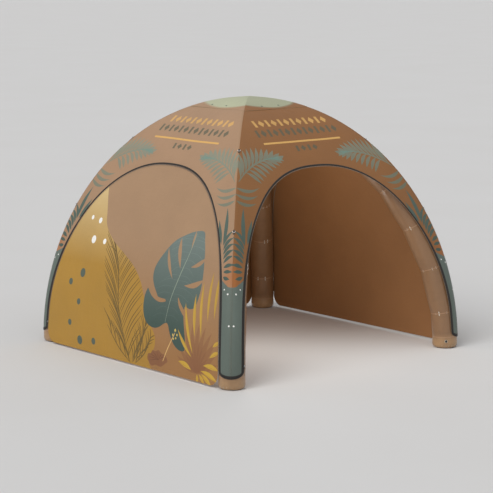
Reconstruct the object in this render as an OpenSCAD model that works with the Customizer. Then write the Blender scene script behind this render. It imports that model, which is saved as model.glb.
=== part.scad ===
// Inflatable dome tent on four air beams, with a sewn canopy and three walls that zip into its
// arches. The doorway faces -Y. The origin is on the ground, at the middle of the footprint.

/* [Overall] */
// Width of the square footprint, over the canopy
span = 3960; // [3300:20:4760]
// Height of the canopy's top above the ground
apex_h = 3240; // [2700:20:3900]

/* [Air beams] */
// Outer radius of a beam's sleeve
beam_r = 160; // [133:1:192]
// Thickness of the sleeve's cloth
sleeve_t = 1.2; // [0.8:0.1:2.5]
// Thickness of the bladder's film
bladder_t = 1; // [0.6:0.1:2]
// Gap between a bladder and its sleeve
bladder_gap = 0.5; // [0.2:0.1:2]
// Height of the straight foot of a beam
foot_h = 150; // [120:5:250]
// Radius of the rounded edge under a foot
foot_round = 36; // [20:1:60]
// Length of the first tube section above the foot
first_section = 320; // [200:10:500]
// Straight tube sections between the first one and the hub
sections = 6; // [4:1:8]
// Distance of the beams' ends from the middle of the tent
hub_reach = 330; // [300:10:420]
// Thickness of the wear pad under each foot
pad_t = 3; // [2:0.5:8]

/* [Canopy] */
// Thickness of the canopy and wall cloth
cloth_t = 2.5; // [1:0.1:4]
// Gap between a beam and the canopy over it
beam_gap = 6.5; // [5:0.1:12]
// Gap between neighbouring panels at a seam
seam_gap = 0.6; // [0.2:0.1:2]
// Corner radius of the ridges high on the canopy
ridge_round = 30; // [20:1:80]
// Height up to which the corners follow the legs' round
round_low = 500; // [300:10:900]
// Height from which the ridges are sharp
round_high = 1900; // [1400:10:2400]
// Height of the leg strips' lowest point
strip_low = 140; // [60:5:200]
// Depth of the round end of a leg strip
strip_end = 80; // [40:5:120]
// Distance from the apex down to the crown patch's edge
crown_drop = 100; // [60:5:160]
// Overlap of the crown patch over the panels
crown_lap = 26; // [10:1:60]

/* [Arches] */
// Distance from the apex down to the top of an arch
arch_drop = 790; // [600:10:1000]
// How far an arch's edge stands inside the leg's centre line
arch_inset = 45; // [30:1:80]
// Fullness of the arch (2 is an ellipse)
arch_full = 2.3; // [2:0.05:3]
// Width of the binding round the legs
bind_w = 40; // [20:1:60]
// Width of the binding over the top of an arch
bind_top = 20; // [12:1:60]
// Thickness of the binding
bind_t = 1.6; // [0.8:0.1:3]

/* [Walls] */
// Clear height under a wall
wall_low = 25; // [5:5:80]
// Radius of a wall's lower corners
wall_corner = 150; // [60:10:250]
// Height of the hem band along a wall's foot
hem_h = 45; // [25:5:80]
// How far a wall bows out
wall_bow = 18; // [0:1:30]

/* [Zips] */
// Width of one half of the zip chain
chain_w = 4.5; // [3:0.5:8]
// Space between the two halves of the chain
chain_gap = 4; // [3:0.5:6]
// Length of the straight run at the foot of a zip
zip_run = 300; // [250:10:360]
// Length of a slider
slider_l = 26; // [18:1:40]
// How far up the run a slider's middle is when it is parked
slider_park = 60; // [40:5:100]
// Length of a pull tab
tab_l = 34; // [20:1:60]

/* [Guy points] */
// Height of the lower guy points
guy_low = 1820; // [1500:10:2200]
// Height of the upper guy points
guy_high = 2700; // [2500:10:2950]
// Inner radius of a guy ring
ring_r = 15; // [10:0.5:25]
// Radius of the ring's wire
wire_r = 2.2; // [1.5:0.1:4]

/* [Valves] */
// Height of the valves above the ground
valve_z = 98; // [80:1:110]
// Radius of the inflation valve's port
port_r = 11; // [8:0.1:13]
// Depth of the port down to its guide
port_depth = 12; // [8:1:15]
// Travel of the sprung plunger
plunger_travel = 4; // [2:0.5:4]

/* [Hidden] */
$fn = 96;

// The four sides and the four corners, as turns from the front and the front left
side_turn = [0, 90, 180, 270];
corner_turn = [-135, -45, 45, 135];

// ---- the canopy's outer surface ----
leg_round = beam_r + beam_gap + cloth_t;   // corner radius of the canopy at the legs
leg_c = span / 2 - leg_round;              // distance of a leg's centre from the mid planes
ridge_a = leg_c * sqrt(2) + leg_round;     // reach of a ridge at the ground
arch_w = leg_c - arch_inset;               // half width of an arch
arch_h = apex_h - arch_drop;               // height of an arch
crown_z = apex_h - crown_drop;             // height of the panels' upper edge

// Reach of the ridge from the middle, corner radius and half width, all at height z
function ridge_reach(z) = ridge_a * sqrt(max(0, 1 - pow(z / apex_h, 2)));
function ease(t) = let (c = min(1, max(0, t))) c * c * (3 - 2 * c);
function corner_r(z) = leg_round
    + (ridge_round - leg_round) * ease((z - round_low) / (round_high - round_low));
function round_at(z) = min(corner_r(z), ridge_reach(z) / 2);
function half_w(z) = (ridge_reach(z) - round_at(z)) / sqrt(2) + round_at(z);
// Lean of a side from the vertical at height z
function lean(z) = let (d = min(4, (apex_h - z) / 3))
    atan((half_w(z - d) - half_w(z + d)) / (2 * d));
// Distance along the surface from the middle of a side to its ridge
function reach(z) = half_w(z) - round_at(z) * (1 - PI / 4);

// A point of the front side at distance s from its middle, measured along the surface, and at
// height z, sunk by off below the outer surface
function on_side(s, z, off) =
    let (a = lean(z), w = half_w(z), flat = w - round_at(z), r = max(1, round_at(z) - off * cos(a)),
         f = w - off * cos(a) - r, d = min(abs(s), reach(z)),
         over = max(0, d - flat) / (reach(z) - flat) * 45, x = over > 0 ? f + r * sin(over) : d * f / flat)
    [sign(s) * x, -f - r * cos(over), z - off * sin(a)];

// ---- arches, in distance from the middle and height ----
function arch_x(t) = arch_w * pow(cos(t), 2 / arch_full);
function arch_z(t) = arch_h * pow(sin(t), 2 / arch_full);
// The angle at which the arch is at height z
function arch_t(z) = asin(pow(z / arch_h, arch_full / 2));
// The arch's edge at angle t, moved out by d from the opening
function arch_edge(t, d) =
    let (nx = pow(arch_x(t) / arch_w, arch_full - 1) / arch_w,
         nz = pow(arch_z(t) / arch_h, arch_full - 1) / arch_h, n = norm([nx, nz]))
    [arch_x(t) + d * nx / n, arch_z(t) + d * nz / n];
strip_top = strip_low + strip_end;         // where the strip's round end meets the arch's edge
t_low = arch_t(strip_top);
t_run = arch_t(strip_top + zip_run);       // where the straight run ends
arch_steps = 26;
arch_angles = concat([t_low],
    [for (i = [0:arch_steps - 1]) t_run + (90 - t_run) * i / (arch_steps - 1)]);

// ---- closed skins ----
function flat_list(grid) = [for (row = grid) each row];

// A closed sheet between two grids of points with the same rows and columns
module sheet(outer, inner) {
    rows = len(outer);
    cols = len(outer[0]);
    n = rows * cols;
    quads = [for (i = [0:rows - 2], j = [0:cols - 2])
        [(i + 1) * cols + j, (i + 1) * cols + j + 1, i * cols + j + 1, i * cols + j]];
    rim = concat([for (j = [0:cols - 1]) j], [for (i = [1:rows - 1]) i * cols + cols - 1],
        [for (j = [cols - 2:-1:0]) (rows - 1) * cols + j], [for (i = [rows - 2:-1:1]) i * cols]);
    m = len(rim);
    faces = concat(
        [for (q = quads) each [[q[0], q[1], q[2]], [q[0], q[2], q[3]]]],
        [for (q = quads) each [[n + q[2], n + q[1], n + q[0]], [n + q[3], n + q[2], n + q[0]]]],
        [for (k = [0:m - 1]) let (a = rim[k], b = rim[(k + 1) % m])
            each [[a, b, n + a], [b, n + b, n + a]]]);
    polyhedron(concat(flat_list(outer), flat_list(inner)), faces);
}

// A sheet that lies on the front side: rows of [distance, height], from off a down to off b
module side_sheet(rows, a, b) {
    sheet([for (r = rows) [for (p = r) on_side(p[0], p[1], a)]],
          [for (r = rows) [for (p = r) on_side(p[0], p[1], b)]]);
}

function mirrored(rows) = [for (r = rows) [for (p = r) [-p[0], p[1]]]];
function backwards(list) = [for (i = [len(list) - 1:-1:0]) list[i]];

// ---- canopy ----
panel_steps = 6;
crown_share = 0.72;                        // share of the arch's rows that end on the ridge

// Where the row of a roof panel that starts at arch angle number i ends
function row_end(i) =
    let (t = i / arch_steps, at = arch_edge(arch_angles[i], 0)[1],
         top = arch_edge(t_low + (90 - t_low) * crown_share, 0)[1])
    t < crown_share
        ? let (z = at + (crown_z - top) * pow(t / crown_share, 3)) [reach(z) - seam_gap / 2, z]
        : [(reach(crown_z) - seam_gap / 2) * (1 - t) / (1 - crown_share), crown_z];
function row_point(i, s) =
    let (a = arch_edge(arch_angles[i], 0), b = row_end(i), z = a[1] + (b[1] - a[1]) * s,
         ka = a[0] / reach(a[1]), kb = b[0] / reach(b[1]))
    [(ka + (kb - ka) * s) * reach(z), z];
// The round lower end of a leg strip, from the arch's edge (0) to the ridge (90), moved in by d
function strip_point(a, d) =
    let (z = strip_top - (strip_end - d) * sin(a), x = arch_x(t_low) + d)
    [x + (reach(z) - seam_gap / 2 - x) * (1 - cos(a)), z];
half_panel = concat(
    [[for (j = [0:panel_steps]) strip_point(90 * j / panel_steps, 0)]],
    [for (i = [1:arch_steps]) [for (j = [0:panel_steps]) row_point(i, j / panel_steps)]]);

module roof_panel() {
    side_sheet(concat(half_panel, backwards(mirrored([for (i = [0:arch_steps - 1]) half_panel[i]]))),
        0, cloth_t);
}

crown_rings = 7;
crown_around = 5;                          // steps along half a side
patch_gap = 4;                             // between the crown patch and the panels under it
// One ring of the crown patch, all the way round, at height z and off the surface
function crown_ring(z, off) = [for (q = side_turn, j = [-crown_around:crown_around - 1])
    let (p = on_side(j / crown_around * reach(z), z, off), c = cos(q), s = sin(q))
    [p[0] * c - p[1] * s, p[0] * s + p[1] * c, p[2]]];
function crown_level(k) = apex_h * sin(asin((crown_z - crown_lap) / apex_h) * (1 - k / crown_rings)
    + 90 * k / crown_rings);

module crown_patch() {
    top = -patch_gap - cloth_t;
    outer = [for (k = [0:crown_rings - 1]) crown_ring(crown_level(k), top)];
    inner = [for (k = [0:crown_rings - 1]) crown_ring(crown_level(k), -patch_gap)];
    around = 8 * crown_around;
    n = crown_rings * around;
    function next(j) = (j + 1) % around;
    last = (crown_rings - 1) * around;
    faces = concat(
        [for (k = [0:crown_rings - 2], j = [0:around - 1])
            let (a = k * around + j, b = k * around + next(j), c = b + around, d = a + around)
            each [[c, b, a], [d, c, a], [n + a, n + b, n + c], [n + a, n + c, n + d]]],
        [for (j = [0:around - 1]) [2 * n, last + next(j), last + j]],
        [for (j = [0:around - 1]) [n + last + j, n + last + next(j), 2 * n + 1]],
        [for (j = [0:around - 1]) each [[next(j), n + next(j), n + j], [next(j), n + j, j]]]);
    color("#a9b596") polyhedron(concat(flat_list(outer), flat_list(inner),
        [[0, 0, apex_h - top], [0, 0, apex_h + patch_gap]]), faces);
}

bind_low = 900;                            // heights between which the binding narrows
bind_high = 1900;
function bind_at(z) = bind_w + (bind_top - bind_w) * ease((z - bind_low) / (bind_high - bind_low));
// The band round an arch: half of it, from the ridge at the foot up to the arch's top
bind_rows = concat(
    [for (a = [90:-15:15]) [strip_point(a, 0), strip_point(a, bind_w)]],
    [for (t = arch_angles) [arch_edge(t, 0), arch_edge(t, bind_at(arch_z(t)))]]);
bind_gap = 1.5;                            // between the binding and the cloth under it

module arch_binding() {
    half = len(bind_rows) - 1;
    rows = concat(bind_rows, backwards(mirrored([for (i = [0:half - 1]) bind_rows[i]])));
    color("#3a3735") side_sheet(rows, -bind_gap - bind_t, -bind_gap);
}

// A strip along an arch, from d0 to d1 off its edge, with its ends at the strip's round end
module arch_strip(d0, d1) {
    rows = [for (t = arch_angles) [arch_edge(t, d1), arch_edge(t, d0)]];
    side_sheet(concat(rows, backwards(mirrored([for (i = [0:arch_steps - 1]) rows[i]]))), 0, cloth_t);
}

cut_gap = 0.3;
chain_outer = -chain_w - cut_gap;          // inner edge of the canopy's half of a chain
chain_inner = chain_outer - chain_gap;     // outer edge of the wall's half
wall_edge = chain_inner - chain_w;         // where the wall's cloth starts

module canopy_zip_tapes() {
    color("#3a3735") for (q = side_turn)
        rotate([0, 0, q]) arch_strip(-cut_gap, chain_outer);
}

// ---- walls ----
wall_cols = 5;
// Half width of a wall below the arch's round part
function wall_foot_x(z) = arch_x(t_low) + wall_edge - cut_gap
    - wall_corner * (1 - sqrt(max(0, 1 - pow(max(0, 1 - (z - wall_low) / wall_corner), 2))));
function bow(x, edge, z) = wall_bow * (1 - pow(x / edge, 2)) * sin(180 * min(1, z / arch_h));
// A wall's point at share k of its half width, off the surface and bowed out
function wall_point(edge, z, k, off) =
    let (p = on_side(edge * k, z, off)) [p[0], p[1] - bow(edge * k, edge, z), p[2]];

// The rows of a wall, as [half width, height], between two heights
foot_levels = [for (a = [0:18:90]) wall_low + wall_corner * (1 - cos(a))];
arch_rows = [for (i = [0:arch_steps - 1]) arch_edge(arch_angles[i], wall_edge - cut_gap)];

module wall_cloth(rows) {
    shares = [for (j = [-wall_cols:wall_cols]) j / wall_cols];
    sheet([for (r = rows) [for (k = shares) wall_point(r[0], r[1], k, 0)]],
          [for (r = rows) [for (k = shares) wall_point(r[0], r[1], k, cloth_t)]]);
}

hem_top = wall_low + hem_h;
module wall_panel() {
    rows = concat(
        [for (z = concat([hem_top + cut_gap], [for (l = foot_levels) if (l > hem_top + 5) l]))
            [wall_foot_x(z), z]],
        [for (r = arch_rows) if (r[1] > wall_low + wall_corner + 5) r]);
    wall_cloth(rows);
}

module wall_hem() {
    levels = concat([for (l = foot_levels) if (l < hem_top - 5) l], [hem_top]);
    color("#6b4a2c") wall_cloth([for (z = levels) [wall_foot_x(z), z]]);
}

module wall_zip() { color("#3a3735") arch_strip(chain_inner, wall_edge); }

// ---- air beams, in the upright plane of a diagonal: [reach, height] ----
top_room = 12;                             // extra depth near the crown, where the sides flatten
// Depth of a beam's centre below the ridge, so that the tube touches both sides of the canopy
function beam_depth(z) =
    let (a = lean(z), half = 90 - acos(pow(sin(a), 2)) / 2, r = round_at(z))
    r + (leg_round - r) / sin(half) + top_room * pow(z / apex_h, 4);
function beam_point(p) =
    let (z = apex_h * sin(p), n = [apex_h * cos(p), ridge_a * sin(p)])
    [ridge_a * cos(p), z] - beam_depth(z) * n / norm(n);
beam_samples = [for (p = [0:1:84]) beam_point(p)];
function run(i) = i == 0 ? 0 : run(i - 1) + norm(beam_samples[i] - beam_samples[i - 1]);
beam_runs = [for (i = [0:len(beam_samples) - 1]) run(i)];
function at_run(l) = [
    lookup(l, [for (i = [0:len(beam_runs) - 1]) [beam_runs[i], beam_samples[i][0]]]),
    lookup(l, [for (i = [0:len(beam_runs) - 1]) [beam_runs[i], beam_samples[i][1]]])];
hub_run = lookup(-hub_reach, [for (i = [0:len(beam_runs) - 1]) [-beam_samples[i][0], beam_runs[i]]]);
first_run = foot_h + first_section;
beam_line = concat([[leg_c * sqrt(2), foot_h]],
    [for (i = [0:sections]) at_run(first_run + (hub_run - first_run) * i / sections)]);
hub_z = beam_line[len(beam_line) - 1][1];
beam_path = concat([[leg_c * sqrt(2), pad_t]], beam_line);

// Direction of section i, and of the cut between two sections, across the tube
function unit(v) = v / norm(v);
function along(i) = unit(beam_path[i + 1] - beam_path[i]);
last_point = len(beam_path) - 1;
function cut(i) = i == last_point ? [0, 1] : let (d = unit(along(i - 1) + along(i))) [d[1], -d[0]];

// ---- tubes: rings of points round the path, in the upright plane of X and Z ----
tube_sides = 20;
function ring(centre, across, r) = [for (k = [0:tube_sides - 1]) let (a = 360 * k / tube_sides)
    [centre[0] + r * cos(a) * across[0], r * sin(a), centre[1] + r * cos(a) * across[1]]];
// A ring at point i of the path, stretched so that the tube keeps its radius, and drawn in by b
function path_ring(i, r, b) =
    let (d = along(i - 1), c = cut(i), k = abs(c[0] * d[1] - c[1] * d[0]))
    ring(beam_path[i] - (i == last_point ? b / abs(d[0]) : 0) * d,
        c / k * sign(c[0] * d[1] - c[1] * d[0]), r);
// The rings of the round foot, raised by a
function foot_ring(q, r, a) =
    let (edge = foot_round - (beam_r - r))
    ring([beam_path[0][0], pad_t + a + edge * (1 - cos(q))], [1, 0], r - edge + edge * sin(q));

// A solid tube of radius r, with its foot raised by a and its end at the hub drawn in by b
module tube(r, a, b) {
    rings = concat([for (q = [0:30:90]) foot_ring(q, r, a)],
        [for (i = [1:last_point]) path_ring(i, r, b)]);
    n = tube_sides;
    m = len(rings);
    faces = concat(
        [for (i = [0:m - 2], k = [0:n - 1]) let (c = i * n + k, d = i * n + (k + 1) % n)
            each [[d + n, d, c], [c + n, d + n, c]]],
        [[for (k = [0:n - 1]) k]], [[for (k = [n - 1:-1:0]) (m - 1) * n + k]]);
    polyhedron(flat_list(rings), faces);
}

crossover_r = 12;
crossover_l = 60;
crossover_fit = 0.2;
// A round bar through the joint between a beam and the hub
module crossover(r, l) {
    translate([hub_reach, 0, hub_z]) rotate([0, 90, 0]) cylinder(r = r, h = l, center = true);
}
module valve_place() {
    translate([leg_c, -leg_c, valve_z]) rotate([0, 90, -130]) children();
}
module relief_place() {
    translate([-leg_c, leg_c, valve_z]) rotate([0, 90, -10]) children();
}
// The hole for the valve of beam k
module valve_hole(k, extra) {
    if (k == 1) valve_place() cylinder(r = barrel_r + extra, h = beam_r + 20);
    if (k == 3) relief_place() cylinder(r = barrel_r + extra, h = beam_r + 20);
}

bladder_r = beam_r - sleeve_t - bladder_gap;
hub_gap = 2;                               // between the ends of the beams and the hub
module beam_sleeve(k) {
    color("#a08063") difference() {
        rotate([0, 0, corner_turn[k]]) difference() {
            tube(beam_r, 0, 0);
            tube(beam_r - sleeve_t, sleeve_t, -5);
        }
        valve_hole(k, 0.6);
    }
}
module beam_bladder(k) {
    color("#d9d4c6") difference() {
        rotate([0, 0, corner_turn[k]]) difference() {
            tube(bladder_r, sleeve_t + bladder_gap, hub_gap);
            tube(bladder_r - bladder_t, sleeve_t + bladder_gap + bladder_t, hub_gap + bladder_t);
            crossover(crossover_r + crossover_fit, crossover_l * 2);
        }
        valve_hole(k, 0.6);
    }
}

// The hub is a drum with round edges, drawn in by a
hub_round = 120;
hub_inset = 6;                             // between the drum and the ends of the sleeves
module drum(a) {
    r = hub_reach - hub_inset - a;
    h = beam_r - a;
    edge = hub_round - a;
    translate([0, 0, hub_z]) rotate_extrude() union() {
        translate([0, -h]) square([r - edge, 2 * h]);
        translate([0, edge - h]) square([r, 2 * (h - edge)]);
        for (s = [-1, 1]) intersection() {
            translate([r - edge, s * (h - edge)]) circle(edge);
            translate([r - edge, s > 0 ? h - edge : -h]) square(edge);
        }
    }
}
module hub_holes(extra) {
    for (q = corner_turn) rotate([0, 0, q]) crossover(crossover_r + extra, crossover_l * 2);
}
module hub_sleeve() {
    color("#a08063") difference() { drum(0); drum(sleeve_t); hub_holes(1); }
}
module hub_bladder() {
    color("#d9d4c6") difference() {
        drum(sleeve_t + bladder_gap);
        drum(sleeve_t + bladder_gap + bladder_t);
        hub_holes(crossover_fit);
    }
}
module crossover_tubes() {
    color("#c9c9c4") for (q = corner_turn) rotate([0, 0, q]) difference() {
        crossover(crossover_r, crossover_l);
        crossover(crossover_r - 3, crossover_l + 2);
    }
}

module foot_pads() {
    color("#3a3735") for (q = corner_turn) rotate([0, 0, q])
        translate([leg_c * sqrt(2), 0, 0]) cylinder(r = beam_r - foot_round, h = pad_t);
}

// ---- zip sliders and pull tabs ----
// Puts children on the left edge of the front arch: X out along the cloth, Y into the tent, Z up
function zip_point(t) = let (e = arch_edge(t, 0)) on_side(-e[0], e[1], cloth_t / 2);
zip_dir = unit(zip_point(t_run) - zip_point(t_low));
zip_turn = [-asin(zip_dir[1]), atan2(zip_dir[0], zip_dir[2]), 0];
module slider_place() {
    translate(zip_point(t_low) + zip_dir * slider_park) rotate(zip_turn) children();
}
slider_room = bind_gap + bind_t + 0.5;     // between the chain and the slider's plates
plate_t = 2;
slider_w = 14;
slider_y = cloth_t / 2 + slider_room;      // inner face of a plate, from the middle of the cloth
bridge_w = 2;
hinge_y = -slider_y - plate_t - 5;         // the pull tab's pin, in front of the slider
pin_r = 1.5;
module slider_plates() {
    // the bridge stands between the two halves of the chain, and the plates stay off the wall's half
    middle = chain_w + cut_gap + chain_gap / 2;
    right = middle + bridge_w / 2 + 0.1;
    for (s = [-1, 1]) translate([right - slider_w, s > 0 ? slider_y : -slider_y - plate_t, -slider_l / 2])
        cube([slider_w, plate_t, slider_l]);
    translate([middle - bridge_w / 2, -slider_y - 0.5, slider_l / 2 - 8])
        cube([bridge_w, 2 * slider_y + 1, 6]);
}
module zip_slider(k) {
    color("#8d8f92") rotate([0, 0, side_turn[k]]) slider_place() {
        slider_plates();
        // two ears hold the pin of the pull tab
        for (x = [-7.5, 1.5]) translate([x, hinge_y, 0]) {
            translate([0, 0, -3]) cube([2, -hinge_y - slider_y - plate_t + 0.5, 6]);
            rotate([0, 90, 0]) cylinder(r = 3, h = 2);
        }
        translate([-5.5, hinge_y, 0]) rotate([0, 90, 0]) cylinder(r = pin_r, h = 8);
    }
}
module pull_tab(k) {
    tab_w = 6;
    color("#2b2a29") rotate([0, 0, side_turn[k]]) slider_place() translate([-2, hinge_y, 0])
        rotate([-zip_turn[0], 0, 0]) difference() {
            union() {
                rotate([0, 90, 0]) cylinder(r = 3, h = tab_w, center = true);
                translate([-tab_w / 2, -1, -tab_l]) cube([tab_w, 2, tab_l]);
            }
            rotate([0, 90, 0]) cylinder(r = pin_r + 0.05, h = tab_w + 2, center = true);
        }
}

// ---- guy points on the ridges ----
// Puts children on a ridge at height z: X across it, Y up along it, Z off the cloth
function ridge_lean(z) = atan((ridge_reach(z - 2) - ridge_reach(z + 2)) / 4);
module guy_place(k, z) {
    rotate([0, 0, corner_turn[k]]) translate([ridge_reach(z), 0, z])
        rotate([0, 90 - ridge_lean(z), 0]) rotate([0, 0, 90]) children();
}
guy_levels = [guy_low, guy_high];
loop_z = 9;                                // height of the ring's bar over the ridge
loop_gap = 0.3;
loop_l = 20;
module guy_tabs() {
    color("#2b2a29") for (k = [0:3], z = guy_levels) guy_place(k, z) {
        // a saddle plate on the ridge, a web and a sleeve that holds the ring's bar
        difference() {
            union() {
                translate([0, -10, 1.5]) cube([24, 56, 2], center = true);
                translate([-loop_l / 2, -1.5, 2]) cube([loop_l, 3, loop_z - wire_r - 3]);
                translate([0, 0, loop_z]) rotate([0, 90, 0])
                    cylinder(r = wire_r + 1.8, h = loop_l, center = true);
            }
            translate([0, 0, loop_z]) rotate([0, 90, 0])
                cylinder(r = wire_r + loop_gap, h = loop_l + 2, center = true);
        }
    }
}
// A D-shaped ring: a straight bar in the sleeve and a round bow below it
module guy_ring(k, z) {
    bow_r = ring_r + wire_r;
    color("#9a9ca0") guy_place(k, z) translate([0, 0, loop_z]) rotate([0, 0, 180]) {
        rotate_extrude(angle = 180) translate([bow_r, 0]) circle(wire_r, $fn = 32);
        rotate([0, 90, 0]) cylinder(r = wire_r, h = 2 * bow_r, center = true, $fn = 32);
        for (s = [-1, 1]) translate([s * bow_r, 0, 0]) sphere(wire_r, $fn = 32);
    }
}

// ---- valves, with their axis along Z and the beam's surface at beam_r ----
barrel_r = 16;
flange_r = 21;
flange_t = 3;
valve_face = beam_r + 3 + flange_t;        // the outer face of the flange
guide_z = valve_face - port_depth;         // the outer face of the plunger's guide
guide_t = 2;
chamber_l = 3 * plunger_travel;            // room for the spring and the collar
seat_z = guide_z - guide_t - chamber_l;    // the face on which the plunger's head seals
seat_r = 8;
stem_r = 2.5;
stem_gap = 0.05;
head_t = 2;

module valve_shell(port) {
    difference() {
        union() {
            translate([0, 0, seat_z]) cylinder(r = barrel_r, h = valve_face - seat_z);
            translate([0, 0, valve_face - flange_t]) cylinder(r = flange_r, h = flange_t);
        }
        translate([0, 0, guide_z]) cylinder(r = port, h = port_depth + 1);
        // the chamber under the guide and the seat's opening
        translate([0, 0, seat_z + 2]) cylinder(r = port, h = guide_z - guide_t - seat_z - 2);
        translate([0, 0, seat_z - 1]) cylinder(r = seat_r, h = 4);
        // the guide: a middle bore for the stem, and four air ways round it
        translate([0, 0, guide_z - guide_t - 1]) cylinder(r = stem_r + stem_gap, h = guide_t + 2);
        for (q = [0:90:270]) rotate([0, 0, q]) translate([6.5, 0, guide_z - guide_t - 1])
            cylinder(r = 2.2, h = guide_t + 2);
    }
}
lid_pin_r = 1.2;
lid_x = flange_r + 1;
lid_z = valve_face + 2;
lid_eye = 7;                               // width of the cap's eye on its pin
module lid_pin(r, l) {
    translate([-lid_x, 0, lid_z]) rotate([90, 0, 0]) cylinder(r = r, h = l, center = true);
}
module valve_body() {
    color("#d8cdbb") valve_place() {
        valve_shell(port_r);
        // two ears at the top of the flange, and the pin of the cap
        for (s = [-1, 1]) translate([-lid_x - 2.5, s * 6 - 1.5, valve_face - flange_t])
            cube([5, 3, flange_t + 2]);
        lid_pin(lid_pin_r, 15);
    }
}
lid_r = 15;
module valve_cap() {
    color("#2f2c2a") valve_place() difference() {
        union() {
            translate([0, 0, valve_face + 0.5]) cylinder(r = lid_r, h = 3);
            translate([-lid_x, -3.5, valve_face + 0.8]) cube([lid_x - lid_r + 4, 7, 2.4]);
            lid_pin(lid_pin_r + 0.9, lid_eye);
        }
        lid_pin(lid_pin_r + 0.05, lid_eye + 2);
    }
}
// A stem with a sealing head below the seat and a spring collar above the guide's lower face
module plunger(head) {
    translate([0, 0, seat_z - head_t]) cylinder(r = head, h = head_t);
    translate([0, 0, seat_z - head_t]) cylinder(r = stem_r, h = guide_z - seat_z + head_t - 0.2);
    translate([0, 0, seat_z + 2.2]) cylinder(r = 4.5, h = 1);
}
module coil(turns) {
    low = seat_z + 3.2;
    step = (guide_z - guide_t - low) / turns;
    for (i = [0:turns - 1]) translate([0, 0, low + step * (i + 0.5)])
        rotate_extrude() translate([3.6, 0]) circle(step * 0.45, $fn = 16);
}
module valve_plunger() { color("#e9e4da") valve_place() plunger(seat_r + 2); }
module valve_spring() { color("#b9bcc0") valve_place() coil(5); }
module relief_body() { color("#2f2c2a") relief_place() valve_shell(port_r - 2); }
module relief_poppet() { color("#e9e4da") relief_place() plunger(seat_r + 2); }
module relief_spring() { color("#b9bcc0") relief_place() coil(5); }

module side(q) { rotate([0, 0, side_turn[q]]) children(); }
module canopy_panel(q) {
    color(["#8f663f", "#9a7048", "#9a7048", "#b29479"][q]) side(q) roof_panel();
}
module wall(q) { color(["#8f663f", "#8a6038", "#8a6038", "#b08a40"][q]) side(q) wall_panel(); }

beam_sleeve(0);  // beam_sleeve_front_left
beam_sleeve(1);  // beam_sleeve_front_right
beam_sleeve(2);  // beam_sleeve_back_right
beam_sleeve(3);  // beam_sleeve_back_left
beam_bladder(0);  // beam_bladder_front_left
beam_bladder(1);  // beam_bladder_front_right
beam_bladder(2);  // beam_bladder_back_right
beam_bladder(3);  // beam_bladder_back_left
hub_sleeve();
hub_bladder();
crossover_tubes();
foot_pads();
canopy_panel(0);  // roof_panel_front
canopy_panel(1);  // roof_panel_right
canopy_panel(2);  // roof_panel_back
canopy_panel(3);  // roof_panel_left
crown_patch();
side(0) arch_binding();  // arch_binding_front
side(1) arch_binding();  // arch_binding_right
side(2) arch_binding();  // arch_binding_back
side(3) arch_binding();  // arch_binding_left
canopy_zip_tapes();
wall(1);  // wall_right
wall(2);  // wall_back
wall(3);  // wall_left
side(1) wall_zip();  // wall_zip_right
side(2) wall_zip();  // wall_zip_back
side(3) wall_zip();  // wall_zip_left
side(1) wall_hem();  // wall_hem_right
side(2) wall_hem();  // wall_hem_back
side(3) wall_hem();  // wall_hem_left
zip_slider(0);  // zip_slider_front
zip_slider(1);  // zip_slider_right
zip_slider(2);  // zip_slider_back
zip_slider(3);  // zip_slider_left
pull_tab(0);  // pull_tab_front
pull_tab(1);  // pull_tab_right
pull_tab(2);  // pull_tab_back
pull_tab(3);  // pull_tab_left
guy_tabs();
guy_ring(0, guy_low);  // guy_ring_low_front_left
guy_ring(1, guy_low);  // guy_ring_low_front_right
guy_ring(2, guy_low);  // guy_ring_low_back_right
guy_ring(3, guy_low);  // guy_ring_low_back_left
guy_ring(0, guy_high);  // guy_ring_high_front_left
guy_ring(1, guy_high);  // guy_ring_high_front_right
guy_ring(2, guy_high);  // guy_ring_high_back_right
guy_ring(3, guy_high);  // guy_ring_high_back_left
valve_body();
valve_cap();
valve_plunger();
valve_spring();
relief_body();
relief_poppet();
relief_spring();
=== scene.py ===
"""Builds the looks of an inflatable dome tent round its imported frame."""
import math

import bpy
import numpy as np
from bpy.props import FloatProperty, FloatVectorProperty, IntProperty, PointerProperty
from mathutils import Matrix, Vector
from mathutils.geometry import delaunay_2d_cdt


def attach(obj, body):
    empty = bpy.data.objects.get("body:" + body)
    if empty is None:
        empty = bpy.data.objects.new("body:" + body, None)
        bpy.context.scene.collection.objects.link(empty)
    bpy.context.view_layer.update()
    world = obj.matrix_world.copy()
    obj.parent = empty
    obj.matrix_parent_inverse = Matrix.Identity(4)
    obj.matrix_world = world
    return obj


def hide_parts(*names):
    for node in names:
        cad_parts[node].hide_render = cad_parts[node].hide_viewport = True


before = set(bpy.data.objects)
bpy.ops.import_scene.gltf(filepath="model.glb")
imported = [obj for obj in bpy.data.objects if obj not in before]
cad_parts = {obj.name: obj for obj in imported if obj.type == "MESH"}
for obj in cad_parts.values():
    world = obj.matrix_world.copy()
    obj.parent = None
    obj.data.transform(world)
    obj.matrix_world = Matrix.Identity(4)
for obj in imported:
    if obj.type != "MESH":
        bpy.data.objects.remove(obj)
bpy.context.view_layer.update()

bl_info = {
    "name": "Inflatable Dome Tent",
    "version": (1, 0, 0),
    "blender": (4, 5, 0),
    "location": "3D View > Sidebar > Dome Tent",
    "description": "Builds an inflatable dome tent: printed canopy, zip-in walls, air beams and fittings",
    "category": "Add Mesh",
}

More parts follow.
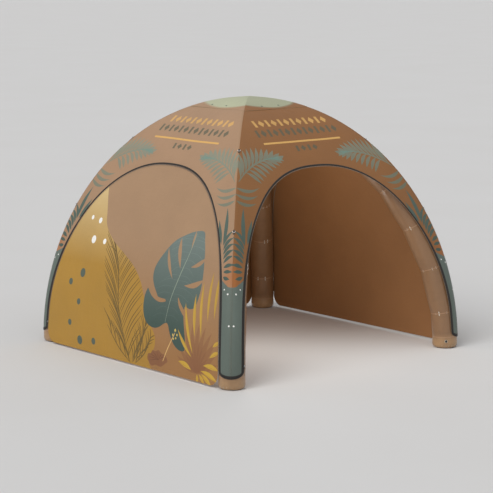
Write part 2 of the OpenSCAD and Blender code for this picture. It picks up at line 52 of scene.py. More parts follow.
# ---- sizes shared with the frame, in metres ----
SPAN, APEX = 3.96, 3.24
BEAM_R, BEAM_GAP, CLOTH = 0.160, 0.0065, 0.0025
FOOT_H, FOOT_ROUND, FIRST_SECTION, SECTIONS = 0.150, 0.036, 0.320, 6
HUB_REACH, PAD_T = 0.330, 0.003
RIDGE_ROUND, ROUND_LOW, ROUND_HIGH = 0.030, 0.500, 1.900
STRIP_LOW, STRIP_END, SEAM_GAP = 0.140, 0.080, 0.0006
CROWN_DROP, CROWN_LAP = 0.100, 0.026
ARCH_DROP, ARCH_INSET, ARCH_FULL = 0.790, 0.045, 2.3
BIND_W, BIND_TOP, BIND_LOW, BIND_HIGH = 0.040, 0.020, 0.900, 1.900
WALL_LOW, WALL_CORNER, HEM_H, WALL_BOW = 0.025, 0.150, 0.045, 0.018
CHAIN_W, CHAIN_GAP, CUT_GAP, ZIP_RUN = 0.0045, 0.004, 0.0003, 0.300
GUY_LEVELS = (1.820, 2.700)
TOP_ROOM = 0.012

LEG_ROUND = BEAM_R + BEAM_GAP + CLOTH
LEG_C = SPAN / 2 - LEG_ROUND
RIDGE_A = LEG_C * math.sqrt(2) + LEG_ROUND
ARCH_W, ARCH_H = LEG_C - ARCH_INSET, APEX - ARCH_DROP
CROWN_Z = APEX - CROWN_DROP
STRIP_TOP = STRIP_LOW + STRIP_END
CHAIN_OUTER = -CHAIN_W - CUT_GAP
CHAIN_INNER = CHAIN_OUTER - CHAIN_GAP
WALL_EDGE = CHAIN_INNER - CHAIN_W
HEM_TOP = WALL_LOW + HEM_H
SIDES = ("front", "right", "back", "left")
CORNERS = ("front_left", "front_right", "back_right", "back_left")
CORNER_TURN = (-135, -45, 45, 135)
WALL_SIDES = ("right", "back", "left")


# ---- the canopy's outer surface ----
def ridge_reach(z):
    return RIDGE_A * np.sqrt(np.maximum(0, 1 - (z / APEX) ** 2))


def ease(t):
    c = np.clip(t, 0, 1)
    return c * c * (3 - 2 * c)


def round_at(z):
    corner = LEG_ROUND + (RIDGE_ROUND - LEG_ROUND) * ease((z - ROUND_LOW) / (ROUND_HIGH - ROUND_LOW))
    return np.minimum(corner, ridge_reach(z) / 2)


def half_w(z):
    r = round_at(z)
    return (ridge_reach(z) - r) / math.sqrt(2) + r


def lean(z):
    """Lean of a side from the upright at height z."""
    d = np.minimum(0.004, (APEX - z) / 3)
    return np.arctan((half_w(z - d) - half_w(z + d)) / (2 * d))


def reach(z):
    """Distance along the cloth from the middle of a side to its ridge."""
    return half_w(z) - round_at(z) * (1 - math.pi / 4)


def on_side(s, z, off=0.0):
    """Points of the front side: s along the cloth from its middle, height z, sunk by off."""
    s, z = np.broadcast_arrays(np.asarray(s, float), np.asarray(z, float))
    a, w, r0 = lean(z), half_w(z), round_at(z)
    flat, far = w - r0, reach(z)
    r = np.maximum(0.001, r0 - off * np.cos(a))
    f = w - off * np.cos(a) - r
    d = np.minimum(np.abs(s), far)
    over = np.maximum(0, d - flat) / (far - flat) * (math.pi / 4)
    x = np.where(over > 0, f + r * np.sin(over), d * f / flat)
    return np.stack([np.sign(s) * x, -f - r * np.cos(over), z - off * np.sin(a)], -1)


PEAK = APEX - 1e-7
Z_STEPS = np.concatenate([np.linspace(0, APEX - 0.0004, 2400), PEAK - 0.0004 * np.linspace(0.97, 0, 60) ** 2])
RUN_STEPS = np.concatenate([[0], np.cumsum(np.hypot(np.diff(Z_STEPS), np.diff(half_w(Z_STEPS))))])


def run_of(z):
    """Length of cloth from the ground up to height z, along the middle of a side."""
    return np.interp(z, Z_STEPS, RUN_STEPS)


def height_of(run):
    return np.interp(run, RUN_STEPS, Z_STEPS)


def turned(points, side):
    """Points of the front side, turned to side 0 to 3."""
    c, s = ((1, 0), (0, 1), (-1, 0), (0, -1))[side]
    p = np.asarray(points)
    return np.stack([p[..., 0] * c - p[..., 1] * s, p[..., 0] * s + p[..., 1] * c, p[..., 2]], -1)


# ---- arches, as [distance from the middle, height] ----
def arch_edge(t, d):
    """The arch's edge at angle t (radians), moved out by d from the opening."""
    t = np.asarray(t, float)
    x = ARCH_W * np.maximum(0, np.cos(t)) ** (2 / ARCH_FULL)
    z = ARCH_H * np.sin(t) ** (2 / ARCH_FULL)
    nx = (x / ARCH_W) ** (ARCH_FULL - 1) / ARCH_W
    nz = (z / ARCH_H) ** (ARCH_FULL - 1) / ARCH_H
    n = np.hypot(nx, nz)
    return np.stack([x + d * nx / n, z + d * nz / n], -1)


def arch_t(z):
    return math.asin((z / ARCH_H) ** (ARCH_FULL / 2))


T_LOW, T_RUN = arch_t(STRIP_TOP), arch_t(STRIP_TOP + ZIP_RUN)


def arch_half(d, steps):
    """Half an arch's edge from its straight foot up to the top, at distance d off it."""
    low, start = arch_edge(T_LOW, d), arch_edge(T_RUN, d)
    foot = np.linspace(low, start, 14)[:-1]
    return np.concatenate([foot, arch_edge(np.linspace(T_RUN, math.pi / 2, steps), d)])


def arch_offset(d, steps):
    """Half an arch's edge moved out by d(height)."""
    low = arch_edge(np.array([T_LOW]), 0)[0][1]
    start = arch_edge(np.array([T_RUN]), 0)[0][1]
    foot = np.array([arch_edge(T_LOW, d(low)) * (1 - k) + arch_edge(T_RUN, d(start)) * k
                     for k in np.linspace(0, 1, 14)[:-1]])
    t = np.linspace(T_RUN, math.pi / 2, steps)
    over = np.array([arch_edge(a, d(float(arch_edge(a, 0)[1]))) for a in t])
    return np.concatenate([foot, over])


def mirrored(points):
    return np.asarray(points)[::-1] * (-1, 1)


def whole_arch(d, steps=110):
    half = arch_half(d, steps)
    return np.concatenate([half, mirrored(half[:-1])])


def strip_end(a, d):
    """The round lower end of a leg strip: from the arch's edge (0) to the ridge (90 degrees)."""
    a = np.radians(np.asarray(a, float))
    z = STRIP_TOP - (STRIP_END - d) * np.sin(a)
    x = arch_edge(T_LOW, 0)[0] + d
    return np.stack([x + (reach(z) - SEAM_GAP / 2 - x) * (1 - np.cos(a)), z], -1)


def whole_band(share, steps=110):
    """A line along the binding: share 0 is its inner edge and 1 its outer edge."""
    def width(z):
        return share * (BIND_W + (BIND_TOP - BIND_W) * float(ease((z - BIND_LOW) / (BIND_HIGH - BIND_LOW))))

    half = np.concatenate([strip_end(np.linspace(90, 4, 22), share * BIND_W), arch_offset(width, steps)])
    return np.concatenate([half, mirrored(half[:-1])])


# ---- walls ----
def wall_foot_x(z):
    share = np.clip(1 - (z - WALL_LOW) / WALL_CORNER, 0, 1)
    return arch_edge(T_LOW, 0)[0] + WALL_EDGE - CUT_GAP - WALL_CORNER * (1 - np.sqrt(1 - share ** 2))


FOOT_Z = WALL_LOW + WALL_CORNER * (1 - np.cos(np.radians(np.linspace(0, 90, 18))))
WALL_SIDE = np.concatenate([np.stack([wall_foot_x(FOOT_Z), FOOT_Z], -1),
                            arch_half(WALL_EDGE - CUT_GAP, 110)])


def on_wall(s, z, off=0.0):
    """Points of the front wall, which bows out between its edges."""
    s, z = np.broadcast_arrays(np.asarray(s, float), np.asarray(z, float))
    edge = np.maximum(0.05, np.interp(z, WALL_SIDE[:, 1], WALL_SIDE[:, 0]))
    out = WALL_BOW * np.maximum(0, 1 - (s / edge) ** 2) * np.sin(math.pi * np.minimum(1, z / ARCH_H))
    p = on_side(s, z, off)
    p[..., 1] -= out
    return p


def ripples(s, run, seed, size, waves=9):
    """A smooth random height field from -1 to 1 over the cloth, with bumps of the given size."""
    rng = np.random.default_rng(seed)
    total = np.zeros(np.shape(s))
    for _ in range(waves):
        angle, phase = rng.uniform(0, 2 * math.pi, 2)
        k = 2 * math.pi / size * rng.uniform(0.6, 1.5)
        total += np.sin(k * (s * math.cos(angle) + run * math.sin(angle)) + phase)
    return total / math.sqrt(waves * 2)


# ---- shader maths ----
class Wire:
    """A socket in a shader expression. Maths on it adds the Math nodes that do it."""

    def __init__(self, look, socket):
        self.look, self.socket = look, socket

    def _math(self, operation, *values):
        return self.look.node("Math", {"operation": operation}, *values)

    def __add__(self, other):
        return self._math("ADD", self, other)

    def __sub__(self, other):
        return self._math("SUBTRACT", self, other)

    def __rsub__(self, other):
        return self._math("SUBTRACT", other, self)

    def __mul__(self, other):
        return self._math("MULTIPLY", self, other)

    def __truediv__(self, other):
        return self._math("DIVIDE", self, other)

    __radd__, __rmul__ = __add__, __mul__

    def power(self, other):
        return self._math("POWER", self, other)

    def sine(self):
        return self._math("SINE", self)

    def size(self):
        return self._math("ABSOLUTE", self)

    def most(self, other):
        return self._math("MAXIMUM", self, other)

    def clipped(self, low, high):
        """1 above high, 0 below low, smooth between."""
        return self.look.node("MapRange", {"interpolation_type": "SMOOTHSTEP"}, self, low, high, 0.0, 1.0)


class Look:
    """A material under construction."""

    def __init__(self, name, **fixed):
        self.material = bpy.data.materials.new(name)
        self.material.use_nodes = True
        self.tree = self.material.node_tree
        self.shader = self.tree.nodes["Principled BSDF"]
        for socket, value in fixed.items():
            self.shader.inputs[socket.replace("_", " ")].default_value = value

    def node(self, kind, settings=None, *values, out=0, **named):
        """Adds a node: its settings first, then its sockets by order or by name."""
        made = self.tree.nodes.new("ShaderNode" + kind)
        for key, value in (settings or {}).items():
            if key == "stops":
                ramp = made.color_ramp.elements
                for k, (place, colour) in enumerate(value):
                    element = ramp[k] if k < 2 else ramp.new(place)
                    element.position, element.color = place, colour
            else:
                setattr(made, key, value)
        for key, value in list(enumerate(values)) + list(named.items()):
            socket = made.inputs[key if isinstance(key, int) else key.replace("_", " ")]
            if isinstance(value, Wire):
                self.tree.links.new(value.socket, socket)
            else:
                socket.default_value = value
        return Wire(self, made.outputs[out])

    def mix(self, share, one, two):
        made = self.node("Mix", {"data_type": "RGBA"}, out=2)
        node = made.socket.node
        for key, value in ((0, share), (6, one), (7, two)):
            if isinstance(value, Wire):
                self.tree.links.new(value.socket, node.inputs[key])
            else:
                node.inputs[key].default_value = value if key == 0 else (*value[:3], 1)
        return made

    def scaled(self, vector, *factors):
        return self.node("VectorMath", {"operation": "MULTIPLY"}, vector, factors)

    def part(self, vector, axis):
        return self.node("SeparateXYZ", None, vector, out=axis)

    def place(self):
        return self.node("TexCoord", None, out=3)

    def attribute(self, name, out=1):
        return self.node("Attribute", {"attribute_name": name}, out=out)

    def noise(self, where, scale, detail=3.0, rough=0.55):
        return self.node("TexNoise", None, Vector=where, Scale=scale, Detail=detail, Roughness=rough)

    def feed(self, socket, value):
        self.tree.links.new(value.socket, self.shader.inputs[socket])
        return self

    def bump(self, height, distance, strength=1.0):
        return self.feed("Normal", self.node("Bump", None, Strength=strength, Distance=distance,
                                             Height=height))


def linear(text):
    """A linear colour from six hexadecimal digits."""
    parts = [int(text[k:k + 2], 16) / 255 for k in (0, 2, 4)]
    return tuple(c / 12.92 if c <= 0.04045 else ((c + 0.055) / 1.055) ** 2.4 for c in parts)


LOOKS = {}


THREADS = 0.0011


def woven(look, lay, threads, depth, colour, rough, wrinkle=0.0035):
    """A plain weave on cloth coordinates in metres, with slubs, soft stains and a fine bump."""
    u, v = look.part(lay, 0), look.part(lay, 1)
    turn = 2 * math.pi / threads
    warp, weft = (u * turn).sine(), (v * turn).sine()
    weave = warp * weft * 0.5 + 0.5
    slub = look.noise(look.scaled(lay, 3.0, 160.0, 1.0), 1.0, 2.0)
    slub_2 = look.noise(look.scaled(lay, 160.0, 3.0, 1.0), 1.0, 2.0)
    cloud = look.noise(lay, 1.7, 4.0)
    shade = (weave * 0.10 + 0.95) * (slub * 0.10 + 0.95) * (slub_2 * 0.10 + 0.95) * (cloud * 0.22 + 0.89)
    tinted = look.node("VectorMath", {"operation": "SCALE"}, colour, Scale=shade)
    look.feed("Base Color", tinted)
    look.feed("Roughness", cloud * 0.16 + (rough - 0.08) + slub * 0.05)
    crease = look.noise(lay, 9.0, 5.0, 0.6)
    look.bump(weave * depth + slub * (depth * 0.6) + crease * wrinkle, 1.0, 1.0)


def cloth_look(name, rough, colour=None, sheen_rough=0.45, depth=0.00012):
    """Polyester cloth, in one colour or printed by the piece's own colour attribute."""
    look = Look(name, Sheen_Weight=0.10, Sheen_Roughness=sheen_rough, Specular_IOR_Level=0.35)
    tone = look.attribute("print", 0) if colour is None else tuple(colour)
    woven(look, look.attribute("lay"), THREADS, depth, tone, rough)
    return look.material


def ribbed_look(name, colour, rough, rib):
    """Grosgrain tape: ribs across its length, a selvedge line and a little lint."""
    look = Look(name, Sheen_Weight=0.15, Sheen_Roughness=0.4, Specular_IOR_Level=0.3)
    lay = look.attribute("lay")
    along, across = look.part(lay, 0), look.part(lay, 1)
    ribs = (along * (2 * math.pi / rib)).sine() * 0.5 + 0.5
    lint = look.noise(look.scaled(lay, 90.0, 260.0, 1.0), 1.0, 3.0)
    edge = ((across - 0.5).size() * 2.0).clipped(0.80, 0.92)
    pale = tuple(min(1, c * 1.7 + 0.02) for c in colour)
    worn = look.mix(lint.clipped(0.55, 0.85) * 0.35 + edge * 0.25, colour, pale)
    look.feed("Base Color", worn)
    look.feed("Roughness", ribs * 0.10 + lint * 0.15 + (rough - 0.1))
    look.bump(ribs * 0.0003 + lint * 0.0002, 1.0)
    return look.material


def sleeve_look(name, colour, foot, rough):
    """Glossy coated sleeve cloth with soft wrinkles. Its foot is painted paler, as if lit, and the rest
    darker, as in the shade inside the tent; its pale seams are painted highlights of the wrinkles at the
    joints.
    """
    look = Look(name, Coat_Weight=0.65, Coat_Roughness=0.24, Specular_IOR_Level=0.5)
    lay, here = look.attribute("lay"), look.place()
    grime = look.noise(here, 7.0, 5.0)
    # painted light: the paler foot colour below stands for the lit foot, the sleeve colour above for the
    # beam's shade inside the tent
    shade = look.mix(look.part(here, 2).clipped(0.08, 0.22), foot, colour)
    # painted highlight: a paler tone along each seam for the bright wrinkles at the joints
    seam = (look.part(lay, 2) * 100.0).clipped(0.35, 0.95)
    pale = tuple(c * 1.5 + 0.04 for c in colour)
    worn = look.mix(grime.clipped(0.45, 0.75) * 0.35, shade, tuple(c * 0.7 for c in colour))
    base = look.mix(seam * 0.7, worn, pale)
    woven(look, lay, 0.0014, 0.00012, base, rough, wrinkle=0.0060)
    return look.material


def moulded_look(name, colour, rough, grain=900.0, depth=0.00006):
    """Moulded plastic or rubber with a fine grain and a few rubbed places."""
    look = Look(name, Specular_IOR_Level=0.5)
    here = look.place()
    fine, rub = look.noise(here, grain, 2.0), look.noise(here, 35.0, 4.0)
    look.feed("Base Color", look.mix(rub.clipped(0.45, 0.8) * 0.5, colour,
                                     tuple(c * 0.8 + 0.03 for c in colour)))
    look.feed("Roughness", rub * 0.18 + (rough - 0.08) + fine * 0.06)
    look.bump(fine * depth + rub * depth, 1.0)
    return look.material


def metal_look(name, colour, rough):
    """Plated metal with fine scratches and duller patches."""
    look = Look(name, Metallic=1.0)
    here = look.place()
    scratch = look.noise(look.scaled(here, 300.0, 2600.0, 300.0), 1.0, 2.0)
    patch = look.noise(here, 160.0, 4.0)
    look.feed("Base Color", look.mix(patch.clipped(0.5, 0.8) * 0.5, colour,
                                     tuple(c * 0.62 for c in colour)))
    look.feed("Roughness", patch * 0.18 + scratch * 0.10 + (rough - 0.1))
    look.bump(scratch * 0.00002 + patch * 0.00004, 1.0)
    return look.material


def film_look(name, colour, rough):
    """Milky film with a slight haze and soft folds."""
    look = Look(name, Specular_IOR_Level=0.5, Coat_Weight=0.3, Coat_Roughness=0.15)
    here = look.place()
    haze, fold = look.noise(here, 22.0, 4.0), look.noise(here, 70.0, 3.0)
    look.feed("Base Color", look.mix(haze, colour, tuple(c * 0.82 for c in colour)))
    look.feed("Roughness", haze * 0.2 + (rough - 0.1))
    look.bump(haze * 0.0012 + fold * 0.0004, 1.0)
    return look.material


# ---- meshes ----
def new_piece(name, points, faces, looks, layout=None, colours=None, indices=None, sharp=50.0):
    """A mesh object at the origin. layout is each point's place on the cloth, colours each corner's."""
    mesh = bpy.data.meshes.new(name)
    mesh.from_pydata(np.asarray(points).tolist(), [], [list(f) for f in faces])
    if layout is not None:
        lay = mesh.attributes.new("lay", "FLOAT_VECTOR", "POINT")
        lay.data.foreach_set("vector", np.asarray(layout, np.float32).ravel())
    if colours is not None:
        ink = mesh.color_attributes.new("print", "FLOAT_COLOR", "CORNER")
        full = np.concatenate([colours, np.ones((len(colours), 1))], 1)
        ink.data.foreach_set("color", full.astype(np.float32).ravel())
    for look in looks:
        mesh.materials.append(look)
    if indices is not None:
        mesh.polygons.foreach_set("material_index", np.asarray(indices, np.int32))
    mesh.polygons.foreach_set("use_smooth", [True] * len(mesh.polygons))
    mesh.update()
    mesh.set_sharp_from_angle(angle=math.radians(sharp))
    piece = bpy.data.objects.new(name, mesh)
    bpy.context.scene.collection.objects.link(piece)
    return piece


def within(x, y, outline):
    """Which points lie inside a closed outline."""
    hit = np.zeros(np.shape(x), bool)
    x0, y0 = outline[-1]
    for x1, y1 in outline:
        crosses = (y0 > y) != (y1 > y)
        hit ^= crosses & (x < (x1 - x0) * (y - y0) / (y1 - y0 + 1e-30) + x0)
        x0, y0 = x1, y1
    return hit


def spaced(outline, step):
    """An outline with points no further apart than step."""
    points = []
    for a, b in zip(outline, np.roll(outline, -1, 0)):
        n = max(1, math.ceil(np.linalg.norm(b - a) / step))
        points.extend(a + (b - a) * k / n for k in range(n))
    return np.array(points)


class Ink:
    """One printed shape: its outline on the flat cloth and how it colours what is under it."""

    def __init__(self, outline, paint):
        flat = np.asarray(outline, float)
        self.outline = np.stack([flat[:, 0], run_of(flat[:, 1])], -1)
        self.paint = paint


ROW_SHARE = 0.866       # height of a row of even triangles, by their side


def cut_flat(outline, inks, step):
    """Triangles of the flat cloth, with each ink's edge in the mesh, and the inks on each one."""
    low, high = outline.min(0), outline.max(0)
    rows = np.arange(low[1], high[1], step * ROW_SHARE)
    grid = np.array([(x + (k % 2) * step / 2, y) for k, y in enumerate(rows)
                     for x in np.arange(low[0], high[0] + step, step)])
    grid = grid[within(grid[:, 0], grid[:, 1], outline)]
    points, edges = grid.tolist(), []
    for loop in [outline] + [ink.outline for ink in inks]:
        loop = spaced(loop, step)
        start = len(points)
        points.extend(loop.tolist())
        edges.extend((start + k, start + (k + 1) % len(loop)) for k in range(len(loop)))
    made = delaunay_2d_cdt([Vector(p) for p in points], edges, [], 0, 1e-5)
    flat = np.array([tuple(p) for p in made[0]])
    faces = np.array(made[2])
    mid = flat[faces].mean(1)
    a, b, c = (flat[faces[:, k]] for k in range(3))
    area = (b[:, 0] - a[:, 0]) * (c[:, 1] - a[:, 1]) - (b[:, 1] - a[:, 1]) * (c[:, 0] - a[:, 0])
    keep = within(mid[:, 0], mid[:, 1], outline) & (np.abs(area) > 1e-12)
    faces, mid, area = faces[keep], mid[keep], area[keep]
    faces[area < 0] = faces[area < 0][:, ::-1]
    covers = [within(mid[:, 0], mid[:, 1], ink.outline) for ink in inks]
    used = np.unique(faces)
    index = np.full(len(flat), -1)
    index[used] = np.arange(len(used))
    return flat[used], index[faces], covers


def inked(flat, faces, inks, covers, ground):
    """Corner colours of a flat cloth's faces."""
    at = flat[faces.ravel()]
    s, z = at[:, 0], height_of(at[:, 1])
    colours = ground(s, z)
    for ink, cover in zip(inks, covers):
        where = np.repeat(cover, 3)
        if where.any():
            colours[where] = ink.paint(s[where], z[where], colours[where])
    return np.clip(colours, 0, 1)


def two_faced(outer, inner, faces, layout, colours):
    """A closed cloth: printed outer faces, lining faces and a rim. Gives all of new_piece's data."""
    n = len(outer)
    directed = np.concatenate([faces[:, [0, 1]], faces[:, [1, 2]], faces[:, [2, 0]]])
    known = set(map(tuple, directed.tolist()))
    rim = [(a, b) for a, b in known if (b, a) not in known]
    rim.sort()
    quads = [(b, a, n + a, n + b) for a, b in rim]
    all_faces = faces.tolist() + (faces[:, ::-1] + n).tolist() + quads
    edge_colour = np.repeat(colours.mean(0)[None], 4 * len(quads), 0)
    all_colours = np.concatenate([colours, colours, edge_colour])
    indices = [0] * len(faces) + [1] * len(faces) + [0] * len(quads)
    return (np.concatenate([outer, inner]), all_faces, np.concatenate([layout, layout]),
            all_colours, indices)


def band(edge_a, edge_b, place, offs, thick, columns):
    """A tape between two edges on the cloth. offs gives the outer face's depth across it."""
    shares = np.linspace(0, 1, columns)
    grid = edge_a[:, None] + (edge_b - edge_a)[:, None] * shares[None, :, None]
    depth = np.array([offs(k) for k in shares])
    outer = place(grid[..., 0], grid[..., 1], depth[None, :])
    inner = place(grid[..., 0], grid[..., 1], depth[None, :] + np.array([thick(k) for k in shares]))
    length = np.concatenate([[0], np.cumsum(np.linalg.norm(np.diff(outer[:, columns // 2], axis=0), axis=1))])
    layout = np.stack([np.repeat(length[:, None], columns, 1),
                       np.repeat(shares[None], len(length), 0), np.zeros(grid.shape[:2])], -1)
    return outer, inner, layout


def grid_faces(rows, columns, closed_rows=False, closed_columns=False):
    return [(i * columns + j, i * columns + (j + 1) % columns,
             (i + 1) % rows * columns + (j + 1) % columns, (i + 1) % rows * columns + j)
            for i in range(rows if closed_rows else rows - 1)
            for j in range(columns if closed_columns else columns - 1)]


def closed_band(outer, inner, layout):
    """Points, faces and layout of a tape with both of its faces and its rim."""
    rows, columns = outer.shape[:2]
    n = rows * columns
    top = np.array(grid_faces(rows, columns))
    rim = ([j for j in range(columns)] + [i * columns + columns - 1 for i in range(1, rows)]
           + [(rows - 1) * columns + j for j in range(columns - 2, -1, -1)]
           + [i * columns for i in range(rows - 2, 0, -1)])
    faces = top.tolist() + (top[:, ::-1] + n).tolist()
    faces += [(rim[(k + 1) % len(rim)], a, n + a, n + rim[(k + 1) % len(rim)]) for k, a in enumerate(rim)]
    points = np.concatenate([outer.reshape(-1, 3), inner.reshape(-1, 3)])
    first = points[faces[0]]
    normal = np.cross(first[1] - first[0], first[2] - first[0])
    if np.dot(normal, points[0] - points[n]) < 0:
        faces = [f[::-1] for f in faces]
    lay = layout.reshape(-1, 3)
    return points, faces, np.concatenate([lay, lay])


def joined(parts):
    """Several (points, faces, layout) as one."""
    points, faces, layout, start = [], [], [], 0
    for p, f, l in parts:
        points.append(p)
        layout.append(l)
        faces.extend(tuple(k + start for k in face) for face in f)
        start += len(p)
    return np.concatenate(points), faces, np.concatenate(layout)


# ---- rows of stitches and teeth, by geometry nodes ----
def row_tree(name, block):
    """Places a small shape at even steps along the edges of a path, turned to it and its normal."""
    tree = bpy.data.node_groups.new(name, "GeometryNodeTree")
    face = tree.interface
    face.new_socket("Path", in_out="INPUT", socket_type="NodeSocketGeometry")
    sockets = {}
    for label, kind in (("Pitch", "NodeSocketFloat"), ("Length", "NodeSocketFloat"),
                        ("Width", "NodeSocketFloat"), ("Height", "NodeSocketFloat"),
                        ("Material", "NodeSocketMaterial")):
        sockets[label] = face.new_socket(label, in_out="INPUT", socket_type=kind).identifier
    face.new_socket("Row", in_out="OUTPUT", socket_type="NodeSocketGeometry")

    def add(kind, **settings):
        made = tree.nodes.new(kind)
        for key, value in settings.items():
            setattr(made, key, value)
        return made

    link = tree.links.new
    given, result = add("NodeGroupInput"), add("NodeGroupOutput")
    curve, even = add("GeometryNodeMeshToCurve"), add("GeometryNodeResampleCurve", mode="LENGTH")
    link(given.outputs["Path"], curve.inputs["Mesh"])
    link(curve.outputs[0], even.inputs["Curve"])
    link(given.outputs["Pitch"], even.inputs["Length"])
    if block:
        shape = add("GeometryNodeMeshCube")
    else:
        shape = add("GeometryNodeMeshUVSphere")
        shape.inputs["Segments"].default_value = 6
        shape.inputs["Rings"].default_value = 4
        shape.inputs["Radius"].default_value = 0.5
    tangent = add("GeometryNodeInputTangent")
    out = add("GeometryNodeInputNamedAttribute", data_type="FLOAT_VECTOR")
    out.inputs["Name"].default_value = "out"
    aim = add("FunctionNodeAlignRotationToVector", axis="X")
    roll = add("FunctionNodeAlignRotationToVector", axis="Z", pivot_axis="X")
    link(tangent.outputs[0], aim.inputs["Vector"])
    link(aim.outputs[0], roll.inputs["Rotation"])
    link(out.outputs[0], roll.inputs["Vector"])
    size = add("ShaderNodeCombineXYZ")
    for axis, label in enumerate(("Length", "Width", "Height")):
        link(given.outputs[label], size.inputs[axis])
    rows = add("GeometryNodeInstanceOnPoints")
    link(even.outputs[0], rows.inputs["Points"])
    link(shape.outputs["Mesh"], rows.inputs["Instance"])
    link(roll.outputs[0], rows.inputs["Rotation"])
    link(size.outputs[0], rows.inputs["Scale"])
    real, paint = add("GeometryNodeRealizeInstances"), add("GeometryNodeSetMaterial")
    link(rows.outputs[0], real.inputs[0])
    link(real.outputs[0], paint.inputs["Geometry"])
    link(given.outputs["Material"], paint.inputs["Material"])
    link(paint.outputs[0], result.inputs[0])
    return tree, sockets


ROW_TREES = {}


def row_piece(name, body, paths, pitch, size, look, block=False):
    """A row of like shapes along paths, each a pair of points and outward directions."""
    if block not in ROW_TREES:
        ROW_TREES[block] = row_tree("Tooth row" if block else "Stitch row", block)
    tree, sockets = ROW_TREES[block]
    points, normals, edges = [], [], []
    for line, out in paths:
        start = len(points)
        points.extend(line.tolist())
        normals.extend(out.tolist())
        edges.extend((k, k + 1) for k in range(start, len(points) - 1))
    mesh = bpy.data.meshes.new(name + "_path")
    mesh.from_pydata(points, edges, [])
    mesh.attributes.new("out", "FLOAT_VECTOR", "POINT").data.foreach_set(
        "vector", np.asarray(normals, np.float32).ravel())
    guide = bpy.data.objects.new(name + "_path", mesh)
    bpy.context.scene.collection.objects.link(guide)
    rows = guide.modifiers.new("Row", "NODES")
    rows.node_group = tree
    for label, value in zip(("Pitch", "Length", "Width", "Height", "Material"), (pitch, *size, look)):
        rows[sockets[label]] = value
    bpy.context.view_layer.update()
    ready = guide.evaluated_get(bpy.context.evaluated_depsgraph_get())
    made = bpy.data.meshes.new_from_object(ready)
    made.name = name
    if not made.polygons:
        raise RuntimeError(name + ": the row is empty")
    if not made.materials:
        made.materials.append(look)
    if "out" in made.attributes:
        made.attributes.remove(made.attributes["out"])
    made.polygons.foreach_set("use_smooth", [not block] * len(made.polygons))
    bpy.data.objects.remove(guide)
    piece = bpy.data.objects.new(name, made)
    bpy.context.scene.collection.objects.link(piece)
    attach(piece, body)
    return piece


def line_on(points, place, side, off):
    """A path on the cloth and its outward directions, turned to a side."""
    at = place(points[:, 0], points[:, 1], off)
    out = place(points[:, 0], points[:, 1], off - 0.002) - at
    out /= np.linalg.norm(out, axis=1)[:, None]
    return turned(at, side), turned(out, side)


# ---- the print: shapes in [distance from the middle, height] on the flat cloth ----
def flat_ink(colour, strength=1.0):
    tone = np.array(colour)
    return lambda s, z, under: under * (1 - strength) + tone * strength


def shaded_ink(colour, strength):
    """A colour as deep as the ground under it is next to the canopy's own tone, so that it carries the
    ground's painted side shade.
    """
    def paint(s, z, under):
        depth = np.clip(under.mean(1) / np.mean(TONES["canopy"]), 0.6, 1.0)[:, None]
        return under * (1 - strength) + np.array(colour) * depth * strength
    return paint


def fading_ink(low_colour, high_colour, low, high, strength=1.0):
    """A colour that changes with height, from low_colour at low to high_colour at high."""
    a, b = np.array(low_colour), np.array(high_colour)

    def paint(s, z, under):
        k = np.clip((z - low) / (high - low), 0, 1)[:, None]
        return under * (1 - strength) + (a * (1 - k) + b * k) * strength
    return paint


def glow_ink(colour, centre, size, strength):
    """A soft patch of colour that fades out from its centre."""
    def paint(s, z, under):
        d = np.hypot((s - centre[0]) / size[0], (z - centre[1]) / size[1])
        k = (strength * (1 - ease(d)))[:, None]
        return under * (1 - k) + np.array(colour) * k
    return paint


def leaf(base, tip, width, bend=0.0, points=9, fullest=0.45):
    """A pointed leaf from base to tip, bent to its left by bend times its length."""
    base, tip = np.array(base, float), np.array(tip, float)
    t = np.linspace(0, 1, points)
    axis = tip - base
    side = np.array([-axis[1], axis[0]])
    spine = base + axis * t[:, None] + side * (bend * 4 * t * (1 - t))[:, None]
    power = math.log(0.5) / math.log(fullest)
    half = width / 2 * np.sin(math.pi * t ** power)
    across = side / np.linalg.norm(side)
    return np.concatenate([spine + across * half[:, None], (spine - across * half[:, None])[-2:0:-1]])


def stroke(points, width, taper=0.35):
    """A thin line that narrows to its ends."""
    p = np.asarray(points, float)
    d = np.gradient(p, axis=0)
    across = np.stack([-d[:, 1], d[:, 0]], -1) / np.linalg.norm(d, axis=1)[:, None]
    t = np.linspace(0, 1, len(p))
    half = (width / 2 * (taper + (1 - taper) * np.sin(math.pi * t)))[:, None]
    return np.concatenate([p + across * half, (p - across * half)[::-1]])


def curved(points, steps=5, closed=True):
    """A smooth line through given points."""
    p = np.asarray(points, float)
    n = len(p)
    made = []
    for i in range(n if closed else n - 1):
        a, b, c, d = (p[(i + k) % n] if closed else p[min(max(i + k, 0), n - 1)] for k in (-1, 0, 1, 2))
        for t in np.arange(steps) / steps:
            made.append(0.5 * (2 * b + (c - a) * t + (2 * a - 5 * b + 4 * c - d) * t ** 2
                               + (3 * b - a - 3 * c + d) * t ** 3))
    if not closed:
        made.append(p[-1])
    return np.array(made)


def spot(centre, across, tall, points=14):
    a = np.linspace(0, 2 * math.pi, points, endpoint=False)
    return np.stack([centre[0] + across * np.cos(a), centre[1] + tall * np.sin(a)], -1)


TONES = {
    "canopy": linear("a68567"), "canopy_shade": linear("8d6036"), "sage": linear("b4bb9c"),
    "palm": linear("789184"), "palm_deep": linear("55786c"), "gold": linear("d6a860"),
    "dark_leaf": linear("45554c"), "ink": linear("565a48"), "ember": linear("a8642f"),
    "strip": linear("616c64"), "white": (0.86, 0.85, 0.80),
    "ochre": linear("ab8233"), "ochre_pale": linear("cbb07c"), "tan": linear("a38364"),
    "rust": linear("9c7144"), "leaf_top": linear("6c7973"), "leaf_low": linear("40534b"),
    "vein": linear("9aa693"), "olive": linear("66532a"), "reed_edge": linear("a57e2c"),
    "stamen": linear("d8b071"), "pollen": linear("ccb35e"), "scallop_line": linear("5f3d2a"),
    "slate": linear("555f52"), "scallop": linear("85573a"), "lining": linear("8e633c"),
}


